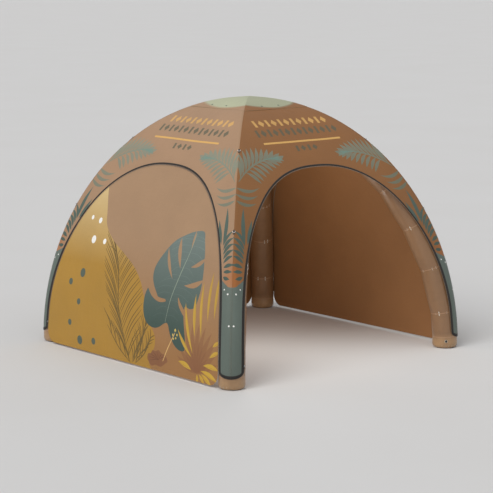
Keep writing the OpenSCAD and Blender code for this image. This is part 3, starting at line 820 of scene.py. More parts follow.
def canopy_inks():
    """The canopy's print on one side, the same on both halves."""
    tones = TONES
    half = []

    def both(outline, paint):
        half.append(Ink(outline, paint))
        half.append(Ink(mirrored(outline), paint))

    # warm patch and grey-green foot of the leg strip
    ember = [(1.50, 1.62), (1.62, 1.66), (1.80, 1.62), (2.2, 1.45), (2.2, 1.10), (1.5, 1.10)]
    both(ember, lambda s, z, under: glow_ink(tones["ember"], (1.80, 1.33), (0.26, 0.34), 0.72)(
        np.abs(s), z, under))
    foot = curved([(1.48, 1.33), (1.58, 1.285), (1.66, 1.245), (1.72, 1.22), (1.80, 1.195), (2.2, 1.18)], 3,
                  False)
    foot = np.concatenate([foot, [(2.2, 0.0), (1.4, 0.0), (1.4, 1.36)]])
    both(foot, fading_ink(tuple(c * 0.92 for c in tones["strip"]), tones["strip"], 0.1, 1.2))
    # upright leaves, and leaflets that climb to the ridge
    dark = fading_ink(tones["dark_leaf"], linear("56675d"), 1.2, 2.1)
    for base, tip, width, bend in (
            ((1.497, 1.640), (1.362, 2.07), 0.060, -0.045), ((1.452, 1.655), (1.290, 1.92), 0.052, 0.0),
            ((1.495, 1.645), (1.600, 1.830), 0.044, 0.14), ((1.515, 1.595), (1.640, 1.755), 0.050, 0.15),
            ((1.535, 1.545), (1.665, 1.690), 0.052, 0.14), ((1.555, 1.495), (1.690, 1.620), 0.052, 0.13),
            ((1.575, 1.450), (1.710, 1.552), 0.046, 0.12), ((1.600, 1.405), (1.752, 1.452), 0.046, 0.08),
            ((1.615, 1.355), (1.755, 1.372), 0.042, 0.04), ((1.630, 1.300), (1.745, 1.290), 0.044, -0.05)):
        both(leaf(base, tip, width, bend), dark)
    # palms over the arch: a stem from the ridge with leaflets on both sides, and bent blades under it
    palm = fading_ink(tones["palm_deep"], tones["palm"], 2.10, 2.70, 0.62)
    stem = curved([(1.30, 2.36), (1.14, 2.455), (0.94, 2.535), (0.74, 2.575), (0.60, 2.585)], 6, False)
    both(stroke(stem, 0.022), palm)
    upper = curved([(1.16, 2.66), (1.03, 2.705), (0.88, 2.725), (0.72, 2.705), (0.56, 2.67), (0.43, 2.60)],
                   2, False)
    lower = curved([(0.46, 2.54), (0.56, 2.49), (0.70, 2.44), (0.84, 2.375), (0.96, 2.31)], 2, False)
    for k, tip in enumerate(upper):
        both(leaf(stem[2 + 2 * k], tip, 0.050, 0.08, fullest=0.55), palm)
    for k, tip in enumerate(lower):
        both(leaf(stem[22 - 2 * k], tip, 0.046, -0.08, fullest=0.55), palm)
    for base, tip in (((1.37, 2.30), (1.02, 2.27)), ((1.41, 2.23), (1.08, 2.185)),
                      ((1.44, 2.16), (1.14, 2.10))):
        both(leaf(base, tip, 0.042, 0.12, fullest=0.35), palm)
    # a bar with rows of plain lozenges over and under it
    whole = [Ink([(-0.64, 2.737), (0.64, 2.737), (0.64, 2.757), (-0.64, 2.757)], flat_ink(tones["gold"]))]
    for centre, count, z, tall, ink in ((0.575, 12, 2.968, 0.036, "gold"), (0.640, 14, 2.860, 0.040, "ink"),
                                        (0.145, 4, 2.668, 0.032, "ink")):
        step = 2 * centre / (count - 1)
        for k in range(count):
            x = -centre + step * k
            wide = step * (0.44 if k % 2 else 0.20)
            shape = ((-1, 0), (0, -1), (1, 0), (0, 1)) if k % 2 else ((-1, -1), (1, -1), (1, 1), (-1, 1))
            whole.append(Ink(np.array(shape) * (wide, tall) + (x, z), flat_ink(tones[ink], 0.80)))
    # the crown's patch of sage, with two dark dots, and small pale dots
    edge = curved([(-0.62, 3.215), (-0.46, 3.188), (-0.30, 3.160), (-0.12, 3.140), (0.06, 3.133),
                   (0.26, 3.148), (0.40, 3.172), (0.52, 3.192), (0.62, 3.215)], 5, False)
    for drop, strength in ((0.012, 0.30), (0.006, 0.35), (0.0, 0.75)):
        whole.append(Ink(np.concatenate([edge - (0, drop), [(0.62, APEX), (-0.62, APEX)]]),
                         shaded_ink(tones["sage"], strength)))
    for x in (-0.18, 0.10):
        whole.append(Ink(spot((x, 3.150), 0.016, 0.0045), flat_ink(tones["dark_leaf"])))
    for x, z, r in ((1.70, 1.165, 0.0095), (1.770, 1.12, 0.0105), (1.86, 0.76, 0.0105)):
        both(spot((x, z), r, r), flat_ink(tones["white"]))
    return half + whole


def palm_lines(stem, count, left, right, width, last=0.86):
    """Line-drawn palm leaf: a stem and curved leaflets, which end at left or right of where they start."""
    stem = curved(stem, 8, False)
    lines = [stroke(stem, width * 1.2)]
    for k in range(count):
        t = 0.06 + (last - 0.06) * k / (count - 1)
        root = stem[int(t * (len(stem) - 2))]
        size = min(1, 0.62 + 1.6 * t, 0.62 + 1.5 * (1 - t))
        for side, end in ((-1, left), (1, right)):
            tip = root + size * np.array(end)
            bow = root + size * (np.array(end) * 0.5 + (-side * 0.030, 0.020))
            lines.append(stroke(curved([root, bow, tip], 5, False), width))
    return lines


def wall_inks():
    """The walls' print: ochre ground with palms, a split leaf and reeds."""
    tones = TONES
    inks = []

    def add(outline, paint):
        inks.append(Ink(outline, paint))

    edge = curved([(-1.16, 2.42), (-1.03, 2.09), (-0.90, 1.83), (-0.80, 1.635), (-0.585, 1.475),
                   (-0.30, 1.345), (-0.05, 1.215), (0.13, 1.07), (0.245, 0.90), (0.36, 0.68),
                   (0.47, 0.54), (0.545, 0.43), (0.535, 0.30), (0.45, 0.20), (0.43, 0.10), (0.50, 0.0)],
                  5, False)
    add(np.concatenate([edge, [(-2.2, 0.0), (-2.2, 2.42)]]),
        fading_ink(tones["ochre"], tones["ochre_pale"], 1.15, 2.0))
    ochre_edge = inks[0].outline

    def olive(s, z, under):
        inside = within(s, run_of(z), ochre_edge)[:, None]
        return np.where(inside, under * 0.1 + np.array(tones["olive"]) * 0.9, under)

    for stem, count, left, right, last in (
            ([(0.03, 0.04), (-0.10, 0.38), (-0.24, 0.72), (-0.32, 1.08), (-0.45, 1.33), (-0.62, 1.40)], 22,
             (-0.42, 0.46), (0.34, 0.50), 0.80),
            ([(0.04, 0.04), (-0.20, 0.20), (-0.44, 0.44)], 5, (-0.22, 0.34), (-0.02, 0.20), 0.8),
            ([(0.10, 0.05), (0.26, 0.28), (0.36, 0.62)], 9, (-0.06, 0.30), (0.16, 0.30), 0.9),
            ([(0.16, 0.05), (0.34, 0.20), (0.46, 0.40)], 6, (0.02, 0.24), (0.16, 0.16), 0.9)):
        for line in palm_lines(stem, count, left, right, 0.0135, last):
            add(line, olive)
    for tone, spots in (
            ("white", ((-1.15, 1.70, 0.026), (-0.97, 1.68, 0.034), (-1.00, 1.44, 0.046),
                       (-0.76, 1.44, 0.032))),
            ("slate", ((-1.08, 1.01, 0.054), (-1.31, 0.87, 0.040), (-1.09, 0.64, 0.038), (-1.26, 0.35, 0.038),
                       (-1.03, 0.15, 0.054), (-0.73, 0.18, 0.042)))):
        for x, z, size in spots:
            add(spot((x, z), size, size * 1.08, 18), flat_ink(tones[tone]))
    # low brown palms behind the reeds
    brown = flat_ink(tones["scallop"], 0.50)
    for k in range(11):
        a = math.radians(160 - 14 * k)
        long = 0.52 if 2 < k < 9 else 0.40
        tip = (1.36 + long * math.cos(a), 0.12 + long * 1.15 * math.sin(a))
        add(leaf((1.36, 0.12), tip, 0.085, 0.03), brown)
    # scalloped leaf at the foot
    add(curved([(0.40, 0.15), (0.42, 0.215), (0.47, 0.222), (0.50, 0.265), (0.56, 0.262), (0.62, 0.285),
                (0.68, 0.252), (0.74, 0.245), (0.80, 0.18), (0.74, 0.13), (0.66, 0.085), (0.56, 0.095),
                (0.49, 0.07), (0.44, 0.10)], 4), flat_ink(tones["scallop"], 0.85))
    for k in range(7):
        a = math.radians(200 - 26 * k)
        tip = (0.62 + 0.19 * math.cos(a), 0.165 + 0.095 * math.sin(a))
        add(stroke([(0.62, 0.165), ((0.62 + tip[0]) / 2, (0.165 + tip[1]) / 2 + 0.006), tip], 0.006),
            flat_ink(tones["scallop_line"], 0.8))
    # the split leaf
    body = curved([(1.09, 1.765), (1.15, 1.67), (1.21, 1.54), (1.245, 1.42), (1.275, 1.30), (1.29, 1.16),
                   (1.28, 1.03), (1.24, 0.90), (1.15, 0.86), (1.055, 0.875), (1.06, 0.74), (1.10, 0.58),
                   (1.125, 0.45), (1.11, 0.355), (1.02, 0.345), (0.91, 0.40), (0.82, 0.52), (0.765, 0.63),
                   (0.70, 0.625), (0.62, 0.575), (0.52, 0.545), (0.40, 0.565), (0.31, 0.64), (0.265, 0.77),
                   (0.268, 0.91), (0.312, 1.01), (0.375, 0.955), (0.46, 0.905), (0.55, 0.875), (0.50, 0.95),
                   (0.42, 1.04), (0.365, 1.14), (0.362, 1.25), (0.41, 1.355), (0.485, 1.46), (0.56, 1.55),
                   (0.65, 1.625), (0.77, 1.685), (0.92, 1.745)], 3)
    leaf_paint = fading_ink(tones["leaf_low"], tones["leaf_top"], 0.60, 1.60)
    add(body, leaf_paint)

    def vein(s, z, under):
        on_leaf = (np.abs(under - leaf_paint(s, z, under)).sum(1) < 1e-4)[:, None]
        return np.where(on_leaf, under * 1.22 + 0.010, under)

    middle = np.array([(0.975, 1.73), (0.945, 1.50), (0.852, 1.19), (0.765, 0.91), (0.715, 0.64)])
    spine = curved(middle, 10, False)
    for k in range(13):
        i = int((0.05 + 0.85 * k / 12) * (len(spine) - 1))
        for side in (-1, 1):
            end = spine[i] + np.array([side * (0.30 + 0.08 * math.sin(k)), -0.10 + 0.05 * k / 12])
            bow = (spine[i] + end) / 2 + np.array([0, 0.035])
            add(stroke(curved([spine[i], bow, end], 4, False), 0.005), vein)
    slits = [leaf((0.535, 1.515), (0.735, 1.165), 0.050, -0.05),
             leaf((0.725, 1.655), (0.842, 1.30), 0.062, -0.05),
             leaf((0.955, 1.76), (0.955, 1.53), 0.032, 0.0),
             leaf((1.262, 1.475), (1.025, 1.338), 0.055, 0.08),
             leaf((1.31, 1.225), (0.975, 1.118), 0.066, 0.09),
             curved([(0.905, 0.968), (0.97, 0.905), (1.04, 0.845), (1.115, 0.79), (1.215, 0.755),
                     (1.21, 0.70), (1.10, 0.735), (1.01, 0.80), (0.935, 0.88)], 3),
             curved([(0.26, 1.18), (0.33, 1.08), (0.42, 0.985), (0.53, 0.925), (0.665, 0.915),
                     (0.67, 0.885), (0.55, 0.868), (0.42, 0.91), (0.33, 0.985), (0.255, 1.09)], 3)]
    for outline in slits:
        add(outline, lambda s, z, under: tan_ground(s, z))
    add(stroke(spine, 0.010, 0.3), flat_ink(tones["vein"], 0.85))
    # reeds
    reed = fading_ink(linear("c9a23a"), linear("b8933f"), 0.1, 1.3)
    for base, tip, width, bend in (
            ((1.255, 0.30), (0.975, 0.60), 0.050, 0.04), ((1.275, 0.34), (1.065, 0.93), 0.050, 0.03),
            ((1.295, 0.55), (1.225, 1.05), 0.050, 0.02), ((1.415, 0.56), (1.325, 1.21), 0.048, 0.02),
            ((1.505, 0.76), (1.46, 1.34), 0.046, 0.02), ((1.615, 0.80), (1.575, 1.36), 0.044, 0.01),
            ((1.255, 0.145), (1.005, 0.215), 0.064, -0.06), ((1.475, 0.235), (1.765, 0.215), 0.062, 0.06),
            ((1.43, 0.165), (1.745, 0.07), 0.060, 0.06), ((1.585, 0.345), (1.77, 0.44), 0.050, 0.05),
            ((1.63, 0.48), (1.77, 0.56), 0.045, 0.05), ((1.44, 0.13), (1.64, 0.0), 0.055, 0.04),
            ((1.365, 0.115), (1.37, 0.0), 0.040, 0.0), ((1.40, 0.12), (1.50, 0.01), 0.045, 0.03)):
        add(leaf(base, tip, width, bend, 11, 0.5), reed)
        add(stroke([base, (np.array(base) + np.array(tip)) / 2 + (0.003, 0), tip], 0.006),
            flat_ink(tones["reed_edge"], 0.8))
    stamen = curved([(0.705, 0.16), (0.80, 0.34), (0.925, 0.545)], 5, False)
    add(stroke(stamen, 0.013, 0.6), flat_ink(tones["stamen"]))
    for x, z, size in ((0.925, 0.575, 0.017), (0.885, 0.515, 0.014), (0.965, 0.525, 0.014),
                       (0.90, 0.468, 0.012), (0.945, 0.482, 0.012)):
        add(spot((x, z), size, size * 1.15, 12), flat_ink(tones["pollen"]))
    return inks


# The walls' ground: tan, darker and redder towards the bottom; its darkening low on the walls is partly
# painted shade of their folds.
def tan_ground(s, z):
    k = ease((z - 0.10) / 1.65)[:, None]
    return np.array(TONES["rust"]) * (1 - k) + np.array(TONES["tan"]) * k


def side_shaded_ground(side):
    """The canopy's ground colour, with painted shade by side: palest on the side facing the key light, darker
    and warmer on the others. It is also a little darker towards the bottom.
    """
    # each side's share of the darker, warmer tone: painted shade on the sides away from the key light
    shade_share = (1.0, 0.45, 0.30, 0.0)[side]
    tone = np.array(TONES["canopy"]) * (1 - shade_share) + np.array(TONES["canopy_shade"]) * shade_share
    return lambda s, z: np.repeat(tone[None], len(s), 0) * (0.94 + 0.06 * np.clip(z / 3, 0, 1))[:, None]


# ---- add-on ----
class TentSizes(bpy.types.PropertyGroup):
    """Sizes of the cloth's detail."""
    mesh_step: FloatProperty(name="Cloth mesh", description="Distance between the cloth's mesh points",
                             default=0.022, min=0.008, max=0.1, unit="LENGTH")
    crease: FloatProperty(name="Crease depth", description="Depth of the cloth's soft folds",
                          default=0.0035, min=0.0, max=0.006, unit="LENGTH")
    bulge: FloatProperty(name="Beam bulge", description="How far a beam's sections swell between seams",
                         default=0.003, min=0.0, max=0.005, unit="LENGTH")
    stitch: FloatProperty(name="Stitch pitch", description="Distance from one stitch to the next",
                          default=0.009, min=0.004, max=0.02, unit="LENGTH")
    tooth: FloatProperty(name="Tooth pitch", description="Distance from one zip tooth to the next",
                         default=0.0045, min=0.003, max=0.01, unit="LENGTH")
    beam_sides: IntProperty(name="Beam sides", description="Points round a beam", default=72, min=24, max=128)


class TentColours(bpy.types.PropertyGroup):
    """Colours of the plain cloths and fittings."""
    # the sleeve and foot colours are shaded and lit copies of one cloth: painted shade on the beam inside the
    # tent, painted light on the foot
    sleeve: FloatVectorProperty(name="Sleeves", description="Cloth of the air beams' sleeves",
                                subtype="COLOR", default=linear("876443"))
    foot: FloatVectorProperty(name="Beam feet", description="Round foot ends of the beams",
                              subtype="COLOR", default=linear("a5825b"))
    lining: FloatVectorProperty(name="Lining", description="Inner face of the canopy and walls",
                                subtype="COLOR", default=TONES["lining"])
    tape: FloatVectorProperty(name="Tape", description="Bindings, webbing and zip tapes",
                              subtype="COLOR", default=linear("2b2826"))
    thread: FloatVectorProperty(name="Thread", description="Stitching", subtype="COLOR",
                                default=linear("55504a"))
    fitting: FloatVectorProperty(name="Fittings", description="Dark plastic fittings", subtype="COLOR",
                                 default=linear("2d2b2a"))


def look_of(name):
    """Makes each material once, when it is first asked for."""
    if name not in LOOKS:
        tones = bpy.context.scene.tent_colours
        makers = {
            "canopy": lambda: cloth_look("Printed canopy cloth", 0.58),
            "wall": lambda: cloth_look("Printed wall cloth", 0.60),
            "crown": lambda: cloth_look("Printed crown cloth", 0.58),
            "lining": lambda: cloth_look("Coated lining", 0.52, tones.lining, 0.4, 0.00015),
            "sleeve": lambda: sleeve_look("Glossy sleeve cloth", tones.sleeve, tones.foot, 0.36),
            "tape": lambda: ribbed_look("Ribbed binding tape", tones.tape, 0.72, 0.0022),
            "patch": lambda: ribbed_look("Sewn guy patch", linear("5a4a3b"), 0.68, 0.003),
            "chain": lambda: moulded_look("Moulded zip chain", linear("857a6e"), 0.40),
            "thread": lambda: moulded_look("Twisted thread", tones.thread, 0.7, 2500.0, 0.0001),
            "thread_pale": lambda: moulded_look("Pale twisted thread", linear("8f7354"), 0.7, 2500.0, 0.0001),
            "metal": lambda: metal_look("Plated zip metal", linear("b9bbbd"), 0.30),
            # the guy rings are near-white: a painted glint of a shiny ring
            "ring": lambda: moulded_look("Pale ring with painted glint", linear("e9e7e2"), 0.30),
            "tab": lambda: moulded_look("Woven guy tab", linear("45403a"), 0.7, 1500.0, 0.0002),
            "zip_tape": lambda: ribbed_look("Brown zip tape", linear("7d6249"), 0.72, 0.0022),
            "steel": lambda: metal_look("Spring steel", linear("c4c8cc"), 0.25),
            "plastic": lambda: moulded_look("Dark moulded plastic", tones.fitting, 0.45),
            "valve": lambda: moulded_look("Sand valve plastic", linear("c9bda8"), 0.40),
            "rubber": lambda: moulded_look("Ribbed pad rubber", linear("35312e"), 0.75, 500.0, 0.0002),
            "film": lambda: film_look("Milky bladder film", linear("cfc9ba"), 0.3),
        }
        LOOKS[name] = makers[name]()
    return LOOKS[name]


def flat_area(flat, faces):
    a, b, c = (flat[faces[:, k]] for k in range(3))
    return float(np.abs((b[:, 0] - a[:, 0]) * (c[:, 1] - a[:, 1])
                        - (b[:, 1] - a[:, 1]) * (c[:, 0] - a[:, 0])).sum() / 2)


def edge_fade(flat, outline, width):
    """0 at a cloth's edge, rising to 1 at the given distance inside it."""
    loop = spaced(outline, width / 2)
    nearest = np.full(len(flat), 1e9)
    for start in range(0, len(loop), 400):
        part = loop[start:start + 400]
        d = ((flat[:, None] - part[None]) ** 2).sum(2).min(1)
        nearest = np.minimum(nearest, d)
    return ease(np.sqrt(nearest) / width)


def panel_outline():
    """A roof panel's outline on the flat cloth."""
    foot = strip_end(np.linspace(0, 90, 30), 0)
    z = np.linspace(STRIP_LOW, CROWN_Z, 220)[1:]
    ridge = np.stack([reach(z) - SEAM_GAP / 2, z], -1)
    arch = arch_half(0, 110)
    right = np.concatenate([arch[::-1], foot[1:], ridge])
    left = mirrored(right)
    loop = np.concatenate([right[1:], left[:-1]])
    return np.stack([loop[:, 0], run_of(loop[:, 1])], -1)


# lengths of the canopy's soft folds and of the puckers by its seams, where both start, and their limit
SOFT_FOLD, PUCKER, STILL_EDGE, PUCKER_EDGE, MOST_RISE = 0.85, 0.11, 0.10, 0.16, 0.0055


class TENT_OT_canopy(bpy.types.Operator):
    """Cuts the four printed roof panels and stretches them over the beams."""
    bl_idname = "tent.canopy"
    bl_label = "Canopy panels"

    def execute(self, context):
        sizes = context.scene.tent_sizes
        outline, inks = panel_outline(), canopy_inks()
        flat, faces, covers = cut_flat(outline, inks, sizes.mesh_step)
        s, z = flat[:, 0], height_of(flat[:, 1])
        fade = edge_fade(flat, outline, STILL_EDGE)
        near = np.exp(-((1 - edge_fade(flat, outline, PUCKER_EDGE)) - 0.55) ** 2 / 0.04)
        layout = np.stack([flat[:, 0], flat[:, 1], np.zeros(len(flat))], -1)
        middle = whole_arch(0.25)
        middle[:, 1] = run_of(middle[:, 1])
        length = float(np.linalg.norm(np.diff(middle, axis=0), axis=1).sum())
        for side, name in enumerate(SIDES):
            soft = ripples(flat[:, 0], flat[:, 1], 11 + side, SOFT_FOLD) * sizes.crease
            pucker = ripples(flat[:, 0], flat[:, 1], 31 + side, PUCKER) * near * sizes.crease * 0.28
            rise = np.minimum((soft + pucker) * fade, MOST_RISE)
            outer = turned(on_side(s, z, -rise), side)
            inner = turned(on_side(s, z, CLOTH - rise), side)
            colours = inked(flat, faces, inks, covers, side_shaded_ground(side))
            data = two_faced(outer, inner, faces, layout, colours)
            piece = new_piece("canopy_" + name, data[0], data[1], [look_of("canopy"), look_of("lining")],
                              data[2], data[3], data[4])
            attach(piece, "tent")
            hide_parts("roof_panel_" + name)
            flat_area(flat, faces) / length
        return {"FINISHED"}


# the crown's share of the print (its patch, dots and pale spots), and its faces above the canopy
CROWN_INKS, CROWN_TOP, CROWN_UNDER = 11, 0.0034, 0.0009


class TENT_OT_crown(bpy.types.Operator):
    """Sews the crown patch over the meeting of the panels."""
    bl_idname = "tent.crown"
    bl_label = "Crown patch"

    def execute(self, context):
        low = CROWN_Z - CROWN_LAP
        z = PEAK - (PEAK - low) * np.linspace(1, 0, 60) ** 2
        right = np.stack([reach(z), z], -1)
        loop = np.concatenate([right, mirrored(right)])
        outline = np.stack([loop[:, 0], run_of(loop[:, 1])], -1)
        inks = canopy_inks()[-CROWN_INKS:]
        flat, faces, covers = cut_flat(outline, inks, context.scene.tent_sizes.mesh_step * 0.8)
        s, z = flat[:, 0], height_of(flat[:, 1])
        places, all_faces, layout, colours, outer, inner = {}, [], [], [], [], []
        for side in range(4):
            top = turned(on_side(s, z, -CROWN_TOP), side)
            under = turned(on_side(s, z, -CROWN_UNDER), side)
            index = []
            for k, at in enumerate(top):
                key = tuple(np.round(at, 4))
                if key not in places:
                    places[key] = len(outer)
                    outer.append(at)
                    inner.append(under[k])
                    layout.append((flat[k, 0] + side * 2, flat[k, 1], 0))
                index.append(places[key])
            index = np.array(index)
            moved = index[faces]
            good = (moved != np.roll(moved, 1, 1)).all(1)
            all_faces.append(moved[good])
            tones = inked(flat, faces, inks, covers, side_shaded_ground(side))
            colours.append(tones.reshape(-1, 3, 3)[good].reshape(-1, 3))
        data = two_faced(np.array(outer), np.array(inner), np.concatenate(all_faces), np.array(layout),
                         np.concatenate(colours))
        piece = new_piece("crown_cap", data[0], data[1], [look_of("crown"), look_of("lining")],
                          data[2], data[3], data[4])
        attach(piece, "tent")
        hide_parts("crown_patch")
        across = float(np.ptp(np.array(outer)[:, 0]))
        area = min(4 * flat_area(flat, faces) * 0.98, across * across)
        return {"FINISHED"}


class TENT_OT_bindings(bpy.types.Operator):
    """Sews the dark binding round each arch."""
    bl_idname = "tent.bindings"
    bl_label = "Arch bindings"

    def execute(self, context):
        inner_edge, outer_edge = whole_band(0.0), whole_band(1.0)

        def fold(k):
            return min(1, 6 * k, 6 * (1 - k)) ** 0.5

        def offs(k):
            return -0.0003 - 0.0022 * fold(k) - 0.0006 * math.sin(math.pi * k)

        def thick(k):
            return 0.0003 + 0.0019 * fold(k)

        outer, inner, layout = band(inner_edge, outer_edge, on_side, offs, thick, 11)
        for side, name in enumerate(SIDES):
            points, faces, lay = closed_band(turned(outer, side), turned(inner, side), layout)
            piece = new_piece("binding_" + name, points, faces, [look_of("tape")], lay)
            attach(piece, "tent")
            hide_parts("arch_binding_" + name)
        return {"FINISHED"}


# the still edge of a wall and the height over which it hangs slack; the hem's mesh, roll and waves
WALL_STILL_EDGE, SLACK_HEIGHT = 0.12, 0.5
HEM_STEP, HEM_ROLL, HEM_ROUND, HEM_WAVE = 0.012, 0.0016, 0.004, 0.0012


class TENT_OT_walls(bpy.types.Operator):
    """Cuts the three printed walls and their hems."""
    bl_idname = "tent.walls"
    bl_label = "Walls"

    def execute(self, context):
        sizes = context.scene.tent_sizes
        half = WALL_SIDE[WALL_SIDE[:, 1] >= WALL_LOW]
        hem_x = float(wall_foot_x(np.array(HEM_TOP)))
        upper = np.concatenate([[(hem_x, HEM_TOP)], half[half[:, 1] > HEM_TOP + 0.001]])
        lower = np.concatenate([half[half[:, 1] < HEM_TOP - 0.001], [(hem_x, HEM_TOP)]])
        inks = wall_inks()
        for part, edge in (("wall", upper), ("hem", lower)):
            loop = np.concatenate([edge, mirrored(edge)[(1 if part == "wall" else 0):]])
            outline = np.stack([loop[:, 0], run_of(loop[:, 1])], -1)
            flat, faces, covers = cut_flat(outline, inks, sizes.mesh_step if part == "wall" else HEM_STEP)
            s, z = flat[:, 0], height_of(flat[:, 1])
            layout = np.stack([flat[:, 0], flat[:, 1], np.zeros(len(flat))], -1)
            colours = inked(flat, faces, inks, covers, tan_ground)
            fade = edge_fade(flat, outline, WALL_STILL_EDGE)
            slack = 0.5 + 0.5 * np.exp(-z / SLACK_HEIGHT)
            for name in WALL_SIDES:
                side = SIDES.index(name)
                if part == "wall":
                    soft = ripples(flat[:, 0], flat[:, 1] * 0.35, 51 + side, 0.55) * sizes.crease
                    folds = ripples(flat[:, 0] * 0.25, flat[:, 1], 71 + side, 0.30) * sizes.crease * 0.4
                    rise = (soft + folds) * fade * slack
                    outer, inner = on_wall(s, z, -rise), on_wall(s, z, CLOTH - rise)
                else:
                    roll = HEM_ROLL * np.clip((HEM_TOP - z) / HEM_ROUND, 0, 1)
                    wave = HEM_WAVE * ripples(flat[:, 0], flat[:, 1], 91 + side, 0.10) * fade
                    outer, inner = on_wall(s, z, -roll - wave), on_wall(s, z, CLOTH + roll - wave)
                data = two_faced(turned(outer, side), turned(inner, side), faces, layout, colours)
                looks = [look_of("wall"), look_of("lining")]
                piece = new_piece(("wall_cloth_" if part == "wall" else "hem_band_") + name,
                                  data[0], data[1], looks, data[2], data[3], data[4])
                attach(piece, "wall_" + name)
                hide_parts(("wall_" if part == "wall" else "wall_hem_") + name)
                if part == "wall":
                    float(np.ptp(flat[:, 0]))
                    float(np.ptp(flat[:, 1]))
                    flat_area(flat, faces)
                else:
                    float(np.ptp(flat[:, 0]))
                    float(np.ptp(flat[:, 1]))
                    flat_area(flat, faces)
        return {"FINISHED"}


class TENT_OT_zips(bpy.types.Operator):
    """Makes the zip tapes and sets their teeth, one row on the canopy and one on each wall."""
    bl_idname = "tent.zips"
    bl_label = "Zips"

    def execute(self, context):
        pitch = context.scene.tent_sizes.tooth
        centre = CLOTH / 2
        thin, under, tooth_w = 0.0014, 0.0012, CHAIN_GAP + 0.0006
        look = look_of("zip_tape")

        def tape(d0, d1, side):
            outer, inner, layout = band(whole_arch(d1), whole_arch(d0), on_side,
                                        lambda k: centre - thin / 2, lambda k: thin, 3)
            return closed_band(turned(outer, side), turned(inner, side), layout)

        points, faces, lay = joined([tape(-CUT_GAP, CHAIN_OUTER + under, side) for side in range(4)])
        piece = new_piece("canopy_tapes", points, faces, [look], lay)
        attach(piece, "tent")
        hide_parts("canopy_zip_tapes")
        size = (pitch * 0.5, tooth_w, CLOTH)
        row = whole_arch(CHAIN_OUTER - CHAIN_GAP / 2 + thin)
        paths = [line_on(row, on_side, side, centre) for side in range(4)]
        row_piece("canopy_teeth", "tent", paths, pitch, size, look_of("chain"), True)
        for name in WALL_SIDES:
            side = SIDES.index(name)
            points, faces, lay = tape(CHAIN_INNER - under, WALL_EDGE, side)
            piece = new_piece("wall_tape_" + name, points, faces, [look], lay)
            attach(piece, "wall_" + name)
            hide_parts("wall_zip_" + name)
            path = line_on(whole_arch(CHAIN_INNER + CHAIN_GAP / 2 - thin), on_side, side, centre)
            row_piece("wall_teeth_" + name, "wall_" + name, [path], pitch, size,
                      look_of("chain"), True)
        return {"FINISHED"}


STITCH = (0.0011, 0.0010)       # width and height of a stitch


class TENT_OT_seams(bpy.types.Operator):
    """Closes the ridges with folded seams and sews every edge."""
    bl_idname = "tent.seams"
    bl_label = "Seams and stitches"

    def execute(self, context):
        pitch = context.scene.tent_sizes.stitch
        stitch = (pitch * 0.62, *STITCH)
        z = height_of(np.linspace(float(run_of(STRIP_LOW + 0.05)), float(run_of(CROWN_Z - 0.03)), 260))
        ridge = np.stack([reach(z), z], -1)
        parts, fold = [], 0.007
        for side in range(4):
            for sign in (1, -1):
                edges = [(ridge - (inset, 0)) * (sign, 1) for inset in (fold, 0)]
                outer, inner, layout = band(
                    *edges[::sign], on_side,
                    lambda k: -0.0004 - 0.0012 * min(1, 5 * (k if sign > 0 else 1 - k)) ** 0.5,
                    lambda k: 0.0014, 5)
                parts.append(closed_band(turned(outer, side), turned(inner, side), layout))
        points, faces, lay = joined(parts)
        colours = []
        inks = [ink for ink in canopy_inks() if np.abs(ink.outline[:, 0]).max() > 1.2
                or ink.outline[:, 1].max() > run_of(3.0)]
        for side in range(4):
            for sign in (1, -1):
                part = parts[side * 2 + (sign < 0)]
                at = np.stack([(ridge[:, 0] - fold / 2) * sign, ridge[:, 1]], -1)
                at = np.tile(np.repeat(at, 5, 0), (2, 1))
                tone = side_shaded_ground(side)(at[:, 0], at[:, 1])
                run = run_of(at[:, 1])
                for ink in inks:
                    where = within(at[:, 0], run, ink.outline)
                    if where.any():
                        tone[where] = ink.paint(at[where, 0], at[where, 1], tone[where])
                colours.extend(tone[k] for face in part[1] for k in face)
        piece = new_piece("ridge_seams", points, faces, [look_of("canopy")], lay, np.array(colours))
        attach(piece, "tent")
        seam_rows, band_rows = [], []
        for side in range(4):
            for sign in (-1, 1):
                for inset, off in ((0.0045, -0.0019), (0.013, -0.0002)):
                    seam_rows.append(line_on((ridge - (inset, 0)) * (sign, 1), on_side, side, off))
            for share in (0.15, 0.85):
                band_rows.append(line_on(whole_band(share), on_side, side, -0.0029))
            lap = CROWN_Z - CROWN_LAP + 0.004
            low = np.linspace(-1, 1, 90)[:, None] * (float(reach(lap)) - 0.002, 0)
            seam_rows.append(line_on(low + (0, lap), on_side, side, -0.0036))
        row_piece("ridge_stitches", "tent", seam_rows, pitch, stitch, look_of("thread_pale"))
        row_piece("binding_stitches", "tent", band_rows, pitch, stitch, look_of("thread"))
        for name in WALL_SIDES:
            side = SIDES.index(name)
            x = float(wall_foot_x(np.array(HEM_TOP))) - 0.006
            hem = np.linspace(-1, 1, 160)[:, None] * (x, 0) + (0, HEM_TOP - 0.007)
            rows = [line_on(hem, on_wall, side, -0.0020)]
            for inset in (0.006, 0.014):
                rows.append(line_on(whole_arch(WALL_EDGE - inset), on_wall, side, -0.0004))
            row_piece("wall_stitches_" + name, "wall_" + name, rows, pitch, stitch,
                      look_of("thread_pale"))
        return {"FINISHED"}


